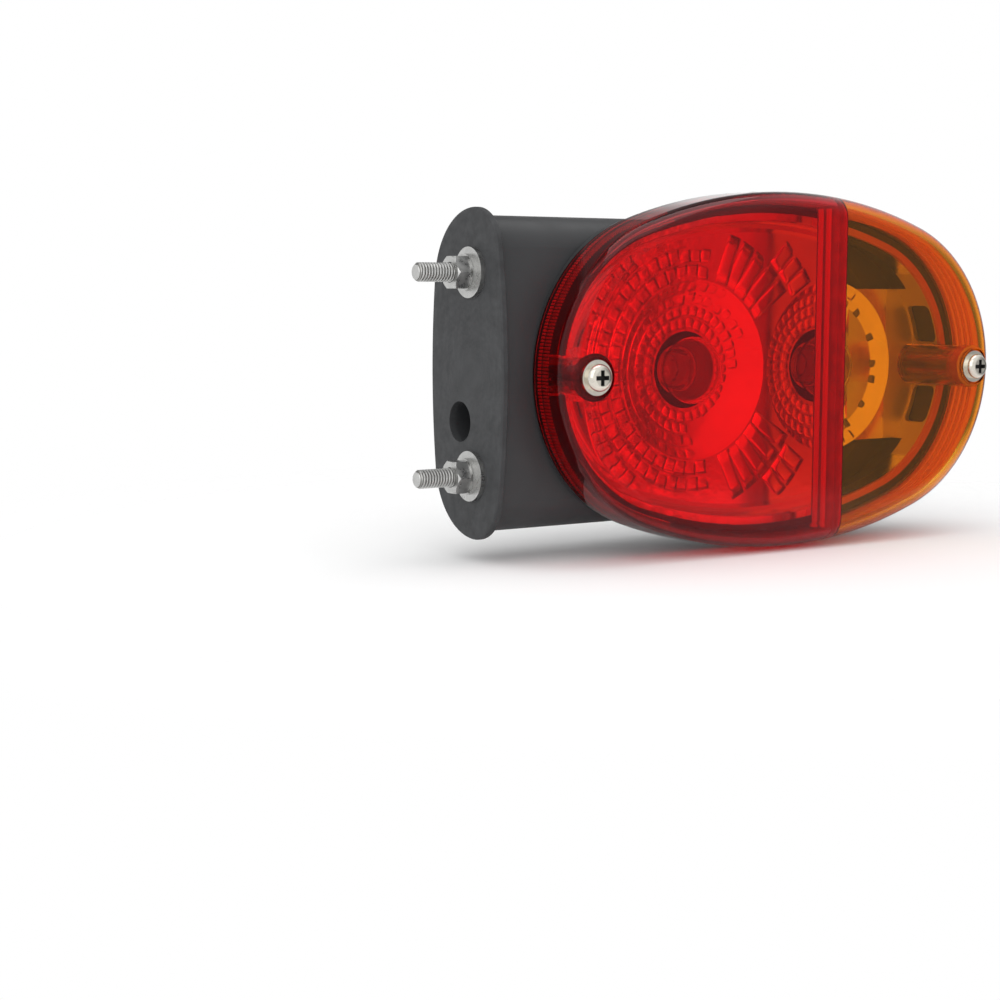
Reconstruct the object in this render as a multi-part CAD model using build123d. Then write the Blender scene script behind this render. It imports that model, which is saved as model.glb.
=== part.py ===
from build123d import *

import os
from math import asin, atan2, cos, degrees, pi, sin, sqrt

# Tail light cluster: a side-arm rear lamp with a two-colour lens.
# Millimetres, +Z up. The origin is the middle of the two mounting studs on the mounting face (X = 0).
# The studs point to -X, the arm and the lens run along +X and the lens faces -Y.

# Mounting studs and their hardware
STUD_SPACING = 64.0
STUD_DIAMETER = 6.0
STUD_SHANK_DIAMETER = 5.3
STUD_REACH = 20.3
STUD_CLEARANCE = 0.4
STUD_FREE_GAP = 0.6
STUD_HEAD_ACROSS_FLATS = 10.0
STUD_HEAD_HEIGHT = 4.0
STUD_TIP_CHAMFER = 0.8
FLAT_WASHER_DIAMETER = 16.0
FLAT_WASHER_THICKNESS = 1.5
SPRING_WASHER_DIAMETER = 11.6
SPRING_WASHER_THICKNESS = 1.6
SPRING_WASHER_SPLIT = 1.2
NUT_ACROSS_FLATS = 10.0
NUT_HEIGHT = 5.0
NUT_CHAMFER = 0.7

# Arm and mounting pad, with Y measured from the stud axis
ARM_FRONT = 15.5
ARM_BACK = 22.7
ARM_HEIGHT = 99.6
ARM_CREST = -0.5
ARM_BOW_RADIUS = 250.0
ARM_REACH = 70.0
ARM_END_WALL = 6.0
PAD_THICKNESS = 2.5
PAD_LIP = 2.5
PAD_EDGE_RADIUS = 0.7
CABLE_HOLE_DIAMETER = 13.0
CABLE_HOLE_Y = 7.4
CABLE_HOLE_Z = -15.2

# Bowl of the housing, and the lens that closes it
LENS_LENGTH = 184.0
LENS_HEIGHT = 118.0
LENS_FULLNESS = 0.88
LENS_START_X = 12.4
LENS_DEPTH = 20.0
LENS_WALL = 2.6
LENS_SHOULDER = 7.5
LENS_DRAFT = 1.5
RIM_Y = -16.0
BOWL_DEPTH = 20.0
BOWL_DRAFT_INSET = 4.0
BOWL_EDGE_RADIUS = 5.0
HOUSING_WALL = 3.0
RIM_WIDTH = 6.0
GROOVE_INSET = 1.4
GROOVE_WIDTH = 2.6
GROOVE_DEPTH = 2.8
TONGUE_CLEARANCE = 0.4
SEAL_THICKNESS = 1.4
TAB_WIDTH = 6.6
TAB_DEPTH = 6.0
TAB_HEIGHT = 4.5
TAB_PROUD = 0.5
TAB_SETBACK = 6.0
TAB_OFFSET_X = 4.1

# Dome on the back of the bowl: highest near the arm, falling away to the outer end
DOME_SINK = 3.0
DOME_RISE = 22.5
DOME_BASE_INSET = 5.0
DOME_BASE_OUTER_INSET = 10.0
DOME_TOP_START = 16.0
DOME_TOP_OUTER_INSET = 105.0
DOME_TOP_HEIGHT_SHARE = 0.966
DOME_SECTIONS = 5

# Spine on the dome, with a round boss standing in a notch at its outer end
SPINE_LENGTH = 142.0
SPINE_HEIGHT = 53.0
SPINE_FULLNESS = 0.755
SPINE_START_X = 21.0
SPINE_START_LEVEL = 23.3
SPINE_RISE = 6.5
SPINE_FLARE = 8.0
SPINE_EDGE_RADIUS = 1.6
BOSS_DIAMETER = 13.4
BOSS_X = 165.5
BOSS_PROUD = 1.0
BOSS_DISH_DIAMETER = 8.0
BOSS_DISH_DEPTH = 0.8
BOSS_NOTCH_GAP = 5.0

# Seam between the red and the amber moulding
SEAM_X = 124.2
PARTITION_THICKNESS = 2.4
PARTITION_DEPTH = 11.0

# Lens screws
SCREW_INSET = 10.6
SCREW_DIAMETER = 4.0
SCREW_HEAD_DIAMETER = 8.6
SCREW_HEAD_HEIGHT = 2.8
SCREW_HEAD_EDGE_RADIUS = 1.9
SCREW_WASHER_DIAMETER = 11.0
SCREW_WASHER_THICKNESS = 1.0
SCREW_SEAT_DEPTH = 1.2
SCREW_SEAT_DIAMETER = 12.4
SCREW_CLEARANCE = 0.6
CROSS_WIDTH = 1.2
CROSS_LENGTH = 4.6
CROSS_DEPTH = 1.6
POST_DIAMETER = 11.6
POST_CLEARANCE = 0.3
POST_RIB_WIDTH = 2.0
POST_RIB_DEPTH = 12.0
INSERT_DIAMETER = 6.4
INSERT_LENGTH = 4.8
INSERT_CLEARANCE = 0.05
PILLAR_DIAMETER = 11.0

# Reflector
REFLECTOR_WALL = 1.6
REFLECTOR_CLEARANCE = 0.5
REFLECTOR_LEVEL = -10.0
FLANGE_INSET = 4.6
FLANGE_THICKNESS = 1.2
DISH_DIAMETER = 60.0
DISH_DEPTH = 5.0
DISH_SAG = 1.25
DISH_HOLE_DIAMETER = 25.8
COLLAR_LENGTH = 5.0
TAIL_STOP_X = 80.0
INDICATOR_X = 141.5
INDICATOR_DROP = 3.0
PLATE_REACH = 15.0
FRAME_LEVEL = -4.0
FRAME_HALF_WIDTH = 27.0
WINDOW_WIDTH = 13.0
WINDOW_MARGIN = 0.8
WINDOW_CORNER_RADIUS = 2.0
WINDOW_Z = 14.5

# Bulbs and their holders
BULB_DIAMETER = 22.4
BULB_GLASS_LENGTH = 21.0
BULB_NECK_DIAMETER = 13.0
BULB_GLASS_WALL = 0.8
BULB_OUTLINE_SHARES = ((0.58, 0.06), (0.91, 0.19), (1.0, 0.36), (0.89, 0.58), (0.69, 0.76))
BULB_TIP_PROUD = 10.8
CAP_DIAMETER = 15.0
CAP_LENGTH = 15.0
CAP_OVER_GLASS = 3.0
GLASS_IN_CAP = 5.0
CAP_PIN_DIAMETER = 2.0
CAP_PIN_PROUD = 1.0
CONTACT_DIAMETER = 6.0
CONTACT_HEIGHT = 1.0
HOLDER_CLEARANCE = 0.2
HOLDER_WALL = 0.6
HOLDER_FLANGE_THICKNESS = 1.0
HOLDER_PIN_CLEARANCE = 0.3
CONTACT_DISC_THICKNESS = 2.0
BLADE_WIDTH = 4.8
BLADE_THICKNESS = 0.8
BLADE_REACH = 16.0
STRIP_WIDTH = 8.0
STRIP_THICKNESS = 0.8

LENS_MIDDLE_X = LENS_START_X + LENS_LENGTH / 2
LENS_END_X = LENS_START_X + LENS_LENGTH
LENS_FRONT_Y = RIM_Y - LENS_DEPTH
BOWL_BACK_Y = RIM_Y + BOWL_DEPTH
INNER_SCREW_X = LENS_START_X + SCREW_INSET
OUTER_SCREW_X = LENS_END_X - SCREW_INSET
SCREW_SEAT_Y = LENS_FRONT_Y + SCREW_SEAT_DEPTH
FRAME_BACK_Y = FRAME_LEVEL + REFLECTOR_WALL
PLATE_BACK_Y = REFLECTOR_LEVEL + REFLECTOR_WALL
FLANGE_FRONT_Y = RIM_Y - FLANGE_THICKNESS
NUT_BACK_X = -FLAT_WASHER_THICKNESS - SPRING_WASHER_THICKNESS
NUT_FACE_X = NUT_BACK_X - NUT_HEIGHT
END_WALL_X = PAD_THICKNESS + ARM_END_WALL
BOSS_END_Y = SPINE_START_LEVEL + SPINE_RISE + BOSS_PROUD
REFLECTOR_INSET = BOWL_DRAFT_INSET + HOUSING_WALL + REFLECTOR_CLEARANCE
STUD_LEVELS = {"upper": STUD_SPACING / 2, "lower": -STUD_SPACING / 2}
FAR = 400.0


def facing_front(y):
    """Plane across Y: its own x is X, its own y is Z, and it looks towards -Y."""
    return Plane(origin=(0, y, 0), x_dir=(1, 0, 0), z_dir=(0, -1, 0))


def facing_outer(x):
    """Plane across X: its own x is Y, its own y is Z, and it looks towards +X."""
    return Plane(origin=(x, 0, 0), x_dir=(0, 1, 0), z_dir=(1, 0, 0))


def slab(face, front_y, back_y):
    """A flat outline in X and Z, filled from front_y to back_y."""
    return extrude(facing_front(back_y) * face, amount=back_y - front_y)


def bar(face, start_x, end_x):
    """A flat outline in Y and Z, filled from start_x to end_x."""
    return extrude(facing_outer(start_x) * face, amount=end_x - start_x)


def rod(x, z, diameter, front_y, back_y):
    """A round rod along Y."""
    return slab(Pos(x, z) * Circle(diameter / 2), front_y, back_y)


def spun(profile, x):
    """A profile of radius and Y, spun about an axis along Y through x."""
    return Pos(x, 0, 0) * revolve(profile, Axis.Y)


def oval(start_x, length, height, fullness, inset=0.0):
    """Four tangent arcs. The inset moves all of them inwards by the same distance."""
    half_length = length / 2 - inset
    half_height = height / 2 - inset
    end_radius = fullness * height / 2 - inset
    side_radius = half_length**2 + half_height**2 - 2 * half_length * end_radius
    side_radius /= 2 * (half_height - end_radius)
    end_centre = half_length - end_radius
    side_centre = side_radius - half_height
    turn = degrees(atan2(side_centre, end_centre))
    arcs = [
        CenterArc((end_centre, 0), end_radius, -turn, 2 * turn),
        CenterArc((0, -side_centre), side_radius, turn, 180 - 2 * turn),
        CenterArc((-end_centre, 0), end_radius, 180 - turn, 2 * turn),
        CenterArc((0, side_centre), side_radius, 180 + turn, 180 - 2 * turn),
    ]
    return Pos(start_x + length / 2, 0) * make_face(arcs)


def lens_oval(inset=0.0):
    return oval(LENS_START_X, LENS_LENGTH, LENS_HEIGHT, LENS_FULLNESS, inset)


def arm_section(grow=0.0):
    """Section of the arm in Y and Z: bowed front and back, with corner arcs that meet at the crest."""
    half_height = ARM_HEIGHT / 2 + grow
    bow = ARM_BOW_RADIUS + grow
    outline = []
    for facing, outward, depth in ((180, -1, ARM_FRONT + ARM_CREST), (0, 1, ARM_BACK - ARM_CREST)):
        depth += grow
        corner = (2 * bow * depth - depth**2 - half_height**2) / (2 * (bow - half_height))
        rise = half_height - corner
        turn = degrees(asin(rise / (bow - corner)))
        bow_y = ARM_CREST + outward * (depth - bow)
        outline.append(CenterArc((bow_y, 0), bow, facing - turn, 2 * turn))
        for up in (1, -1):
            start = min(facing + outward * up * turn, facing + outward * up * 90)
            outline.append(CenterArc((ARM_CREST, up * rise), corner, start, 90 - turn))
    return make_face(outline)


def spine_top(lower=0.0):
    """Everything in front of the sloping top of the spine."""
    slope = degrees(atan2(SPINE_RISE, SPINE_LENGTH))
    below = Pos(0, -FAR / 2, 0) * Box(4 * FAR, FAR, FAR)
    return Pos(SPINE_START_X, SPINE_START_LEVEL - lower, 0) * Rot(0, 0, slope) * below


def dome(wall=0.0):
    """Smooth loft through ovals that shrink towards the arm as they rise."""
    base = BOWL_BACK_Y - DOME_SINK
    base_height = LENS_HEIGHT - 2 * DOME_BASE_INSET
    top_length = LENS_LENGTH - DOME_BASE_INSET - DOME_TOP_START - DOME_TOP_OUTER_INSET
    top_height = DOME_TOP_HEIGHT_SHARE * top_length
    sections = []
    for step in range(DOME_SECTIONS):
        share = step / (DOME_SECTIONS - 1)
        fall = 1 - cos(share * pi / 2)
        inner_inset = DOME_BASE_INSET + DOME_TOP_START * fall + wall
        outer_inset = DOME_BASE_OUTER_INSET * (1 - share) + DOME_TOP_OUTER_INSET * share + wall
        height = base_height - (base_height - top_height) * fall - 2 * wall
        length = LENS_LENGTH - inner_inset - outer_inset
        level = base + DOME_RISE * sin(share * pi / 2) - wall
        outline = oval(LENS_START_X + inner_inset, length, height, LENS_FULLNESS)
        sections.append(facing_front(level) * outline)
    return loft(sections)


def bowl(inset_front, inset_back, front_y, back_y):
    """Oval wall with draft, as a filled body."""
    front = facing_front(front_y) * lens_oval(inset_front)
    back = facing_front(back_y) * lens_oval(inset_back)
    return loft([front, back])


def spine(flare=0.0, inset=0.0, lower=0.0):
    """Raised oval whose sides spread by the flare down to the back of the bowl."""
    outlines = []
    for level, step in ((BOWL_BACK_Y, inset - flare), (BOSS_END_Y, inset)):
        outline = oval(SPINE_START_X, SPINE_LENGTH, SPINE_HEIGHT, SPINE_FULLNESS, step)
        outlines.append(facing_front(level) * outline)
    return loft(outlines) & spine_top(lower)


def boss_notch(gap):
    """U-shaped gap round the boss, open to the outer end."""
    width = BOSS_DIAMETER + 2 * gap
    return rod(BOSS_X, 0, width, RIM_Y, FAR) + Pos(BOSS_X + FAR / 2, 0, 0) * Box(FAR, 2 * FAR, width)


def make_housing():
    shell = bowl(0, BOWL_DRAFT_INSET, RIM_Y, BOWL_BACK_Y)
    shell = fillet(shell.faces().sort_by(Axis.Y)[-1].edges(), BOWL_EDGE_RADIUS)
    ridge = spine(SPINE_FLARE)
    ridge = fillet(ridge.faces().sort_by(Axis.Y)[-1].edges(), SPINE_EDGE_RADIUS) - boss_notch(BOSS_NOTCH_GAP)
    boss = rod(BOSS_X, 0, BOSS_DIAMETER, BOWL_BACK_Y - DOME_SINK, BOSS_END_Y)
    boss -= rod(BOSS_X, 0, BOSS_DISH_DIAMETER, BOSS_END_Y - BOSS_DISH_DEPTH, BOSS_END_Y)
    shell = shell + dome() + ridge + boss
    shell += bar(arm_section(), PAD_THICKNESS, ARM_REACH)
    tab_y = RIM_Y + TAB_SETBACK + TAB_DEPTH / 2
    tab_z = LENS_HEIGHT / 2 + TAB_PROUD - TAB_HEIGHT / 2
    for side in (1, -1):
        place = Pos(LENS_MIDDLE_X + TAB_OFFSET_X, tab_y, side * tab_z)
        shell += place * Box(TAB_WIDTH, TAB_DEPTH, TAB_HEIGHT)

    floor_y = BOWL_BACK_Y - HOUSING_WALL
    cavity = bowl(RIM_WIDTH, BOWL_DRAFT_INSET + HOUSING_WALL, RIM_Y, floor_y)
    cavity += dome(HOUSING_WALL)
    spine_room = spine(0, HOUSING_WALL, HOUSING_WALL) - half_space(BOSS_X, BOSS_X + FAR)
    cavity += spine_room - boss_notch(BOSS_NOTCH_GAP + HOUSING_WALL)
    cavity += bar(arm_section(-HOUSING_WALL), END_WALL_X, ARM_REACH)
    pillar_top = {INNER_SCREW_X: PLATE_BACK_Y, OUTER_SCREW_X: FRAME_BACK_Y}
    for x, top_y in pillar_top.items():
        cavity -= rod(x, 0, PILLAR_DIAMETER, top_y, FAR)
    shell -= cavity

    insert_hole = INSERT_DIAMETER + 2 * INSERT_CLEARANCE
    for x, top_y in pillar_top.items():
        shell -= rod(x, 0, insert_hole, top_y, FRAME_BACK_Y + INSERT_LENGTH)
        shell -= rod(x, 0, POST_DIAMETER + 2 * POST_CLEARANCE, RIM_Y, top_y)
    groove = lens_oval(GROOVE_INSET) - lens_oval(GROOVE_INSET + GROOVE_WIDTH)
    shell -= slab(groove, RIM_Y, RIM_Y + GROOVE_DEPTH)
    for z in STUD_LEVELS.values():
        shell -= bar(Pos(0, z) * Circle((STUD_DIAMETER + STUD_CLEARANCE) / 2), 0, END_WALL_X)
    return shell - bar(Pos(CABLE_HOLE_Y, CABLE_HOLE_Z) * Circle(CABLE_HOLE_DIAMETER / 2), 0, END_WALL_X)


def make_mounting_pad():
    pad = bar(arm_section(PAD_LIP), 0, PAD_THICKNESS)
    rim = pad.faces().sort_by(Axis.X)[0].edges() + pad.faces().sort_by(Axis.X)[-1].edges()
    pad = fillet(rim, PAD_EDGE_RADIUS)
    for z in STUD_LEVELS.values():
        pad -= bar(Pos(0, z) * Circle((STUD_DIAMETER + STUD_CLEARANCE) / 2), 0, PAD_THICKNESS)
    return pad - bar(Pos(CABLE_HOLE_Y, CABLE_HOLE_Z) * Circle(CABLE_HOLE_DIAMETER / 2), 0, PAD_THICKNESS)


def hexagon(across_flats):
    return RegularPolygon(across_flats / 2, 6, major_radius=False)


def make_mounting_stud(z):
    """Full diameter at the free end, a slimmer shank through the nut and the wall, and a head inside."""
    shank_x = NUT_FACE_X - STUD_FREE_GAP
    free_end = bar(Pos(0, z) * Circle(STUD_DIAMETER / 2), -STUD_REACH, shank_x)
    free_end = chamfer(free_end.edges().sort_by(Axis.X)[0], STUD_TIP_CHAMFER)
    shank = bar(Pos(0, z) * Circle(STUD_SHANK_DIAMETER / 2), shank_x, END_WALL_X)
    head = bar(Pos(0, z) * hexagon(STUD_HEAD_ACROSS_FLATS), END_WALL_X, END_WALL_X + STUD_HEAD_HEIGHT)
    return free_end + shank + head


def stud_ring(outer_diameter):
    return Circle(outer_diameter / 2) - Circle((STUD_DIAMETER + STUD_CLEARANCE) / 2)


def make_flat_washer(z):
    return bar(Pos(0, z) * stud_ring(FLAT_WASHER_DIAMETER), -FLAT_WASHER_THICKNESS, 0)


def make_spring_washer(z):
    split = Pos(SPRING_WASHER_DIAMETER / 2, 0) * Rectangle(SPRING_WASHER_DIAMETER, SPRING_WASHER_SPLIT)
    ring = stud_ring(SPRING_WASHER_DIAMETER) - split
    return bar(Pos(0, z) * ring, NUT_BACK_X, -FLAT_WASHER_THICKNESS)


def make_mounting_nut(z):
    corner = NUT_ACROSS_FLATS / sqrt(3)
    body = bar(Pos(0, z) * hexagon(NUT_ACROSS_FLATS), NUT_FACE_X, NUT_BACK_X)
    round_off = Pos((NUT_FACE_X + NUT_BACK_X) / 2, 0, z) * Rot(0, 90, 0) * Cylinder(corner, NUT_HEIGHT)
    round_off = chamfer(round_off.edges().filter_by(GeomType.CIRCLE), NUT_CHAMFER)
    hole = bar(Pos(0, z) * Circle((STUD_DIAMETER + STUD_CLEARANCE) / 2), NUT_FACE_X, NUT_BACK_X)
    return (body & round_off) - hole


def lens_body(inset, front_y, shoulder):
    body = extrude(facing_front(RIM_Y) * lens_oval(inset), amount=RIM_Y - front_y, taper=LENS_DRAFT)
    return fillet(body.faces().sort_by(Axis.Y)[0].edges(), shoulder)


def half_space(start_x, end_x):
    return Pos((start_x + end_x) / 2, 0, 0) * Box(end_x - start_x, FAR, FAR)


def make_lenses():
    """The lens as one shell, then cut along the seam into the red and the amber moulding."""
    hollow = lens_body(LENS_WALL, LENS_FRONT_Y + LENS_WALL, LENS_SHOULDER - LENS_WALL)
    outer = lens_body(0, LENS_FRONT_Y, LENS_SHOULDER)
    lens = outer - hollow
    tongue_inset = GROOVE_INSET + TONGUE_CLEARANCE
    tongue_width = GROOVE_WIDTH - 2 * TONGUE_CLEARANCE
    tongue = lens_oval(tongue_inset) - lens_oval(tongue_inset + tongue_width)
    lens += slab(tongue, RIM_Y - LENS_WALL, RIM_Y + GROOVE_DEPTH - SEAL_THICKNESS)
    partition_y = LENS_FRONT_Y + LENS_WALL + PARTITION_DEPTH
    partition = half_space(SEAM_X - PARTITION_THICKNESS, SEAM_X) & hollow
    partition &= Pos(SEAM_X, partition_y - FAR / 2, 0) * Box(FAR, FAR, FAR)
    lens += partition
    posts = {INNER_SCREW_X: (REFLECTOR_LEVEL, LENS_START_X), OUTER_SCREW_X: (FRAME_LEVEL, LENS_END_X)}
    for x, (foot_y, end_x) in posts.items():
        rib = Pos((x + end_x) / 2, SCREW_SEAT_Y + POST_RIB_DEPTH / 2, 0)
        lens += (rib * Box(abs(end_x - x), POST_RIB_DEPTH, POST_RIB_WIDTH)) & outer
        lens += rod(x, 0, POST_DIAMETER, SCREW_SEAT_Y, foot_y)
        lens -= rod(x, 0, SCREW_SEAT_DIAMETER, LENS_FRONT_Y - LENS_WALL, SCREW_SEAT_Y)
        lens -= rod(x, 0, SCREW_DIAMETER + SCREW_CLEARANCE, SCREW_SEAT_Y, foot_y)
    return lens & half_space(LENS_START_X - FAR, SEAM_X), lens & half_space(SEAM_X, SEAM_X + FAR)


def make_lens_seal():
    inset = GROOVE_INSET + TONGUE_CLEARANCE / 2
    width = GROOVE_WIDTH - TONGUE_CLEARANCE
    strip = lens_oval(inset) - lens_oval(inset + width)
    floor_y = RIM_Y + GROOVE_DEPTH
    return slab(strip, floor_y - SEAL_THICKNESS, floor_y)


def make_lens_screw(x):
    under_head_y = SCREW_SEAT_Y - SCREW_WASHER_THICKNESS
    top_y = under_head_y - SCREW_HEAD_HEIGHT
    head = rod(x, 0, SCREW_HEAD_DIAMETER, top_y, under_head_y)
    head = fillet(head.edges().sort_by(Axis.Y)[0], SCREW_HEAD_EDGE_RADIUS)
    for width, height in ((CROSS_LENGTH, CROSS_WIDTH), (CROSS_WIDTH, CROSS_LENGTH)):
        head -= slab(Pos(x, 0) * Rectangle(width, height), top_y, top_y + CROSS_DEPTH)
    return head + rod(x, 0, SCREW_DIAMETER, under_head_y, FRAME_BACK_Y + INSERT_LENGTH)


def make_lens_washer(x):
    ring = Circle(SCREW_WASHER_DIAMETER / 2) - Circle((SCREW_DIAMETER + SCREW_CLEARANCE) / 2)
    return slab(Pos(x, 0) * ring, SCREW_SEAT_Y - SCREW_WASHER_THICKNESS, SCREW_SEAT_Y)


def make_screw_insert(x):
    ring = Circle(INSERT_DIAMETER / 2) - Circle(SCREW_DIAMETER / 2 + INSERT_CLEARANCE)
    return slab(Pos(x, 0) * ring, FRAME_BACK_Y, FRAME_BACK_Y + INSERT_LENGTH)


def dish_profile(level):
    """Outline of one dish as radius and Y: a shallow curve, then the collar that the holder sits on."""
    rim = DISH_DIAMETER / 2
    hole = DISH_HOLE_DIAMETER / 2
    wall = REFLECTOR_WALL
    bottom = level + DISH_DEPTH
    end = bottom + COLLAR_LENGTH
    middle = (rim + hole) / 2
    return make_face([
        ThreePointArc((rim, level), (middle, bottom - DISH_SAG), (hole, bottom)),
        Polyline((hole, bottom), (hole, end), (hole + wall, end), (hole + wall, bottom + wall)),
        ThreePointArc(
            (hole + wall, bottom + wall), (middle + wall / 2, bottom - DISH_SAG + wall), (rim, level + wall)
        ),
        Line((rim, level + wall), (rim, level)),
    ])


def reflector_band(outer_inset, front_y, back_y):
    """Oval band in from the lens outline, as far as the inner face of the reflector's side wall."""
    return slab(lens_oval(outer_inset) - lens_oval(REFLECTOR_INSET + REFLECTOR_WALL), front_y, back_y)


def make_end_frame():
    """Strap under the outer lens screw, with the side wall brought down to it."""
    frame = slab(lens_oval(REFLECTOR_INSET), FRAME_LEVEL, FRAME_BACK_Y)
    frame &= half_space(INDICATOR_X + DISH_HOLE_DIAMETER / 2, LENS_END_X)
    wall = reflector_band(REFLECTOR_INSET, FLANGE_FRONT_Y, FRAME_BACK_Y)
    frame += wall & half_space(INDICATOR_X, LENS_END_X)
    frame &= Box(2 * FAR, FAR, 2 * FRAME_HALF_WIDTH)
    return frame + rod(OUTER_SCREW_X, 0, POST_DIAMETER, FRAME_LEVEL, FRAME_BACK_Y)


def frame_window(z):
    """Opening with round corners through the end of the side wall."""
    height = FRAME_LEVEL - RIM_Y - 2 * WINDOW_MARGIN
    outline = RectangleRounded(height, WINDOW_WIDTH, WINDOW_CORNER_RADIUS)
    return bar(Pos((RIM_Y + FRAME_LEVEL) / 2, z) * outline, INDICATOR_X + DISH_DIAMETER / 2, LENS_END_X)


def make_reflector():
    """One moulding: a flange on the rim, a side wall, a plate, two dishes with collars, and the end frame."""
    red_side = half_space(LENS_START_X, SEAM_X + PLATE_REACH)
    plate = slab(lens_oval(REFLECTOR_INSET), REFLECTOR_LEVEL, PLATE_BACK_Y) & red_side
    plate += rod(INNER_SCREW_X, 0, POST_DIAMETER, REFLECTOR_LEVEL, PLATE_BACK_Y)
    for x in (TAIL_STOP_X, INDICATOR_X):
        plate -= rod(x, 0, DISH_DIAMETER, REFLECTOR_LEVEL, PLATE_BACK_Y)
    indicator_level = REFLECTOR_LEVEL + INDICATOR_DROP
    step = Circle(DISH_DIAMETER / 2 + REFLECTOR_WALL) - Circle(DISH_DIAMETER / 2)
    step = slab(Pos(INDICATOR_X, 0) * step, REFLECTOR_LEVEL, indicator_level + REFLECTOR_WALL) & red_side
    tail_stop_dish = spun(dish_profile(REFLECTOR_LEVEL), TAIL_STOP_X)
    indicator_dish = spun(dish_profile(indicator_level), INDICATOR_X)
    body = plate + step + tail_stop_dish + indicator_dish + make_end_frame()
    body += reflector_band(REFLECTOR_INSET, FLANGE_FRONT_Y, PLATE_BACK_Y)
    body += reflector_band(FLANGE_INSET, FLANGE_FRONT_Y, RIM_Y)
    for z in (WINDOW_Z, -WINDOW_Z):
        body -= frame_window(z)
    gap = POST_DIAMETER + 2 * REFLECTOR_CLEARANCE
    for x, foot_y, outward in ((INNER_SCREW_X, REFLECTOR_LEVEL, -1), (OUTER_SCREW_X, FRAME_LEVEL, 1)):
        depth = foot_y - FLANGE_FRONT_Y
        body -= rod(x, 0, gap, FLANGE_FRONT_Y, foot_y)
        body -= Pos(x + outward * gap / 2, foot_y - depth / 2, 0) * Box(gap, depth, gap)
        body -= rod(x, 0, SCREW_DIAMETER + SCREW_CLEARANCE, foot_y, foot_y + REFLECTOR_WALL)
    return body


def bulb_levels(drop):
    """Y of the bulb's tip, of the start of its cap, and of the end of its cap."""
    tip = REFLECTOR_LEVEL + drop + DISH_DEPTH - BULB_TIP_PROUD
    start = tip + BULB_GLASS_LENGTH - CAP_OVER_GLASS
    return tip, start, start + CAP_LENGTH


def bulb_pin_level(drop):
    """Y of the two bayonet pins, half-way between the glass's foot and the end of the cap."""
    _, start, end = bulb_levels(drop)
    return (start + GLASS_IN_CAP + end) / 2


def bulb_curve(tip, radius, waist, neck_radius):
    """Blunt pear through the outline's shares of the radius and of the length from tip to waist."""
    points = [(0, tip)]
    for wide, along in BULB_OUTLINE_SHARES:
        points.append((wide * radius, tip + along * (waist - tip)))
    points.append((neck_radius, waist))
    return Spline(points, tangents=[(1, 0), (0, 1)])


def make_bulb_glass(x, drop):
    """Bulb blown thin, open at its neck inside the cap."""
    tip, waist, _ = bulb_levels(drop)
    wall = BULB_GLASS_WALL
    neck = BULB_NECK_DIAMETER / 2
    foot = waist + GLASS_IN_CAP
    profile = make_face([
        bulb_curve(tip, BULB_DIAMETER / 2, waist, neck),
        Polyline((neck, waist), (neck, foot), (neck - wall, foot), (neck - wall, waist)),
        bulb_curve(tip + wall, BULB_DIAMETER / 2 - wall, waist, neck - wall),
        Line((0, tip + wall), (0, tip)),
    ])
    return spun(profile, x)


def make_bulb_cap(x, drop):
    """Bayonet cap: a thin cup with two side pins and a round contact on its end."""
    _, start, end = bulb_levels(drop)
    cup = rod(x, 0, CAP_DIAMETER, start, end)
    cup -= rod(x, 0, BULB_NECK_DIAMETER + 2 * INSERT_CLEARANCE, start, start + GLASS_IN_CAP)
    pins = Pos(x, bulb_pin_level(drop), 0) * Cylinder(CAP_PIN_DIAMETER / 2, CAP_DIAMETER + 2 * CAP_PIN_PROUD)
    return cup + pins + rod(x, 0, CONTACT_DIAMETER, end, end + CONTACT_HEIGHT)


def holder_levels(drop):
    """Y of the holder's flange and of its back end."""
    flange = REFLECTOR_LEVEL + drop + DISH_DEPTH + COLLAR_LENGTH
    end = bulb_levels(drop)[2] + CONTACT_HEIGHT + CONTACT_DISC_THICKNESS
    return flange, end


def make_bulb_holder(x, drop):
    """Pressed sleeve on a flange, with slots for the bayonet pins."""
    flange, end = holder_levels(drop)
    inside = CAP_DIAMETER + 2 * HOLDER_CLEARANCE
    outside = inside + 2 * HOLDER_WALL
    plate = rod(x, 0, DISH_HOLE_DIAMETER + 2 * REFLECTOR_WALL, flange, flange + HOLDER_FLANGE_THICKNESS)
    sleeve = plate + rod(x, 0, outside, flange, end)
    sleeve -= rod(x, 0, inside, flange, end)
    slot = CAP_PIN_DIAMETER + 2 * HOLDER_PIN_CLEARANCE
    length = bulb_pin_level(drop) + slot / 2 - flange
    return sleeve - Pos(x, flange + length / 2, 0) * Box(slot, length, outside + 2 * slot)


def make_contact_disc(x, drop):
    end = holder_levels(drop)[1]
    return rod(x, 0, CAP_DIAMETER, end - CONTACT_DISC_THICKNESS, end)


def make_contact_blade(x, drop):
    """Flat blade on the back of the contact disc, pointing to the arm."""
    end = holder_levels(drop)[1]
    tab = slab(Pos(x - BLADE_REACH / 2, 0) * Rectangle(BLADE_REACH, BLADE_WIDTH), end, end + BLADE_THICKNESS)
    return tab + rod(x, 0, BLADE_WIDTH, end, end + BLADE_THICKNESS)


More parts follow.
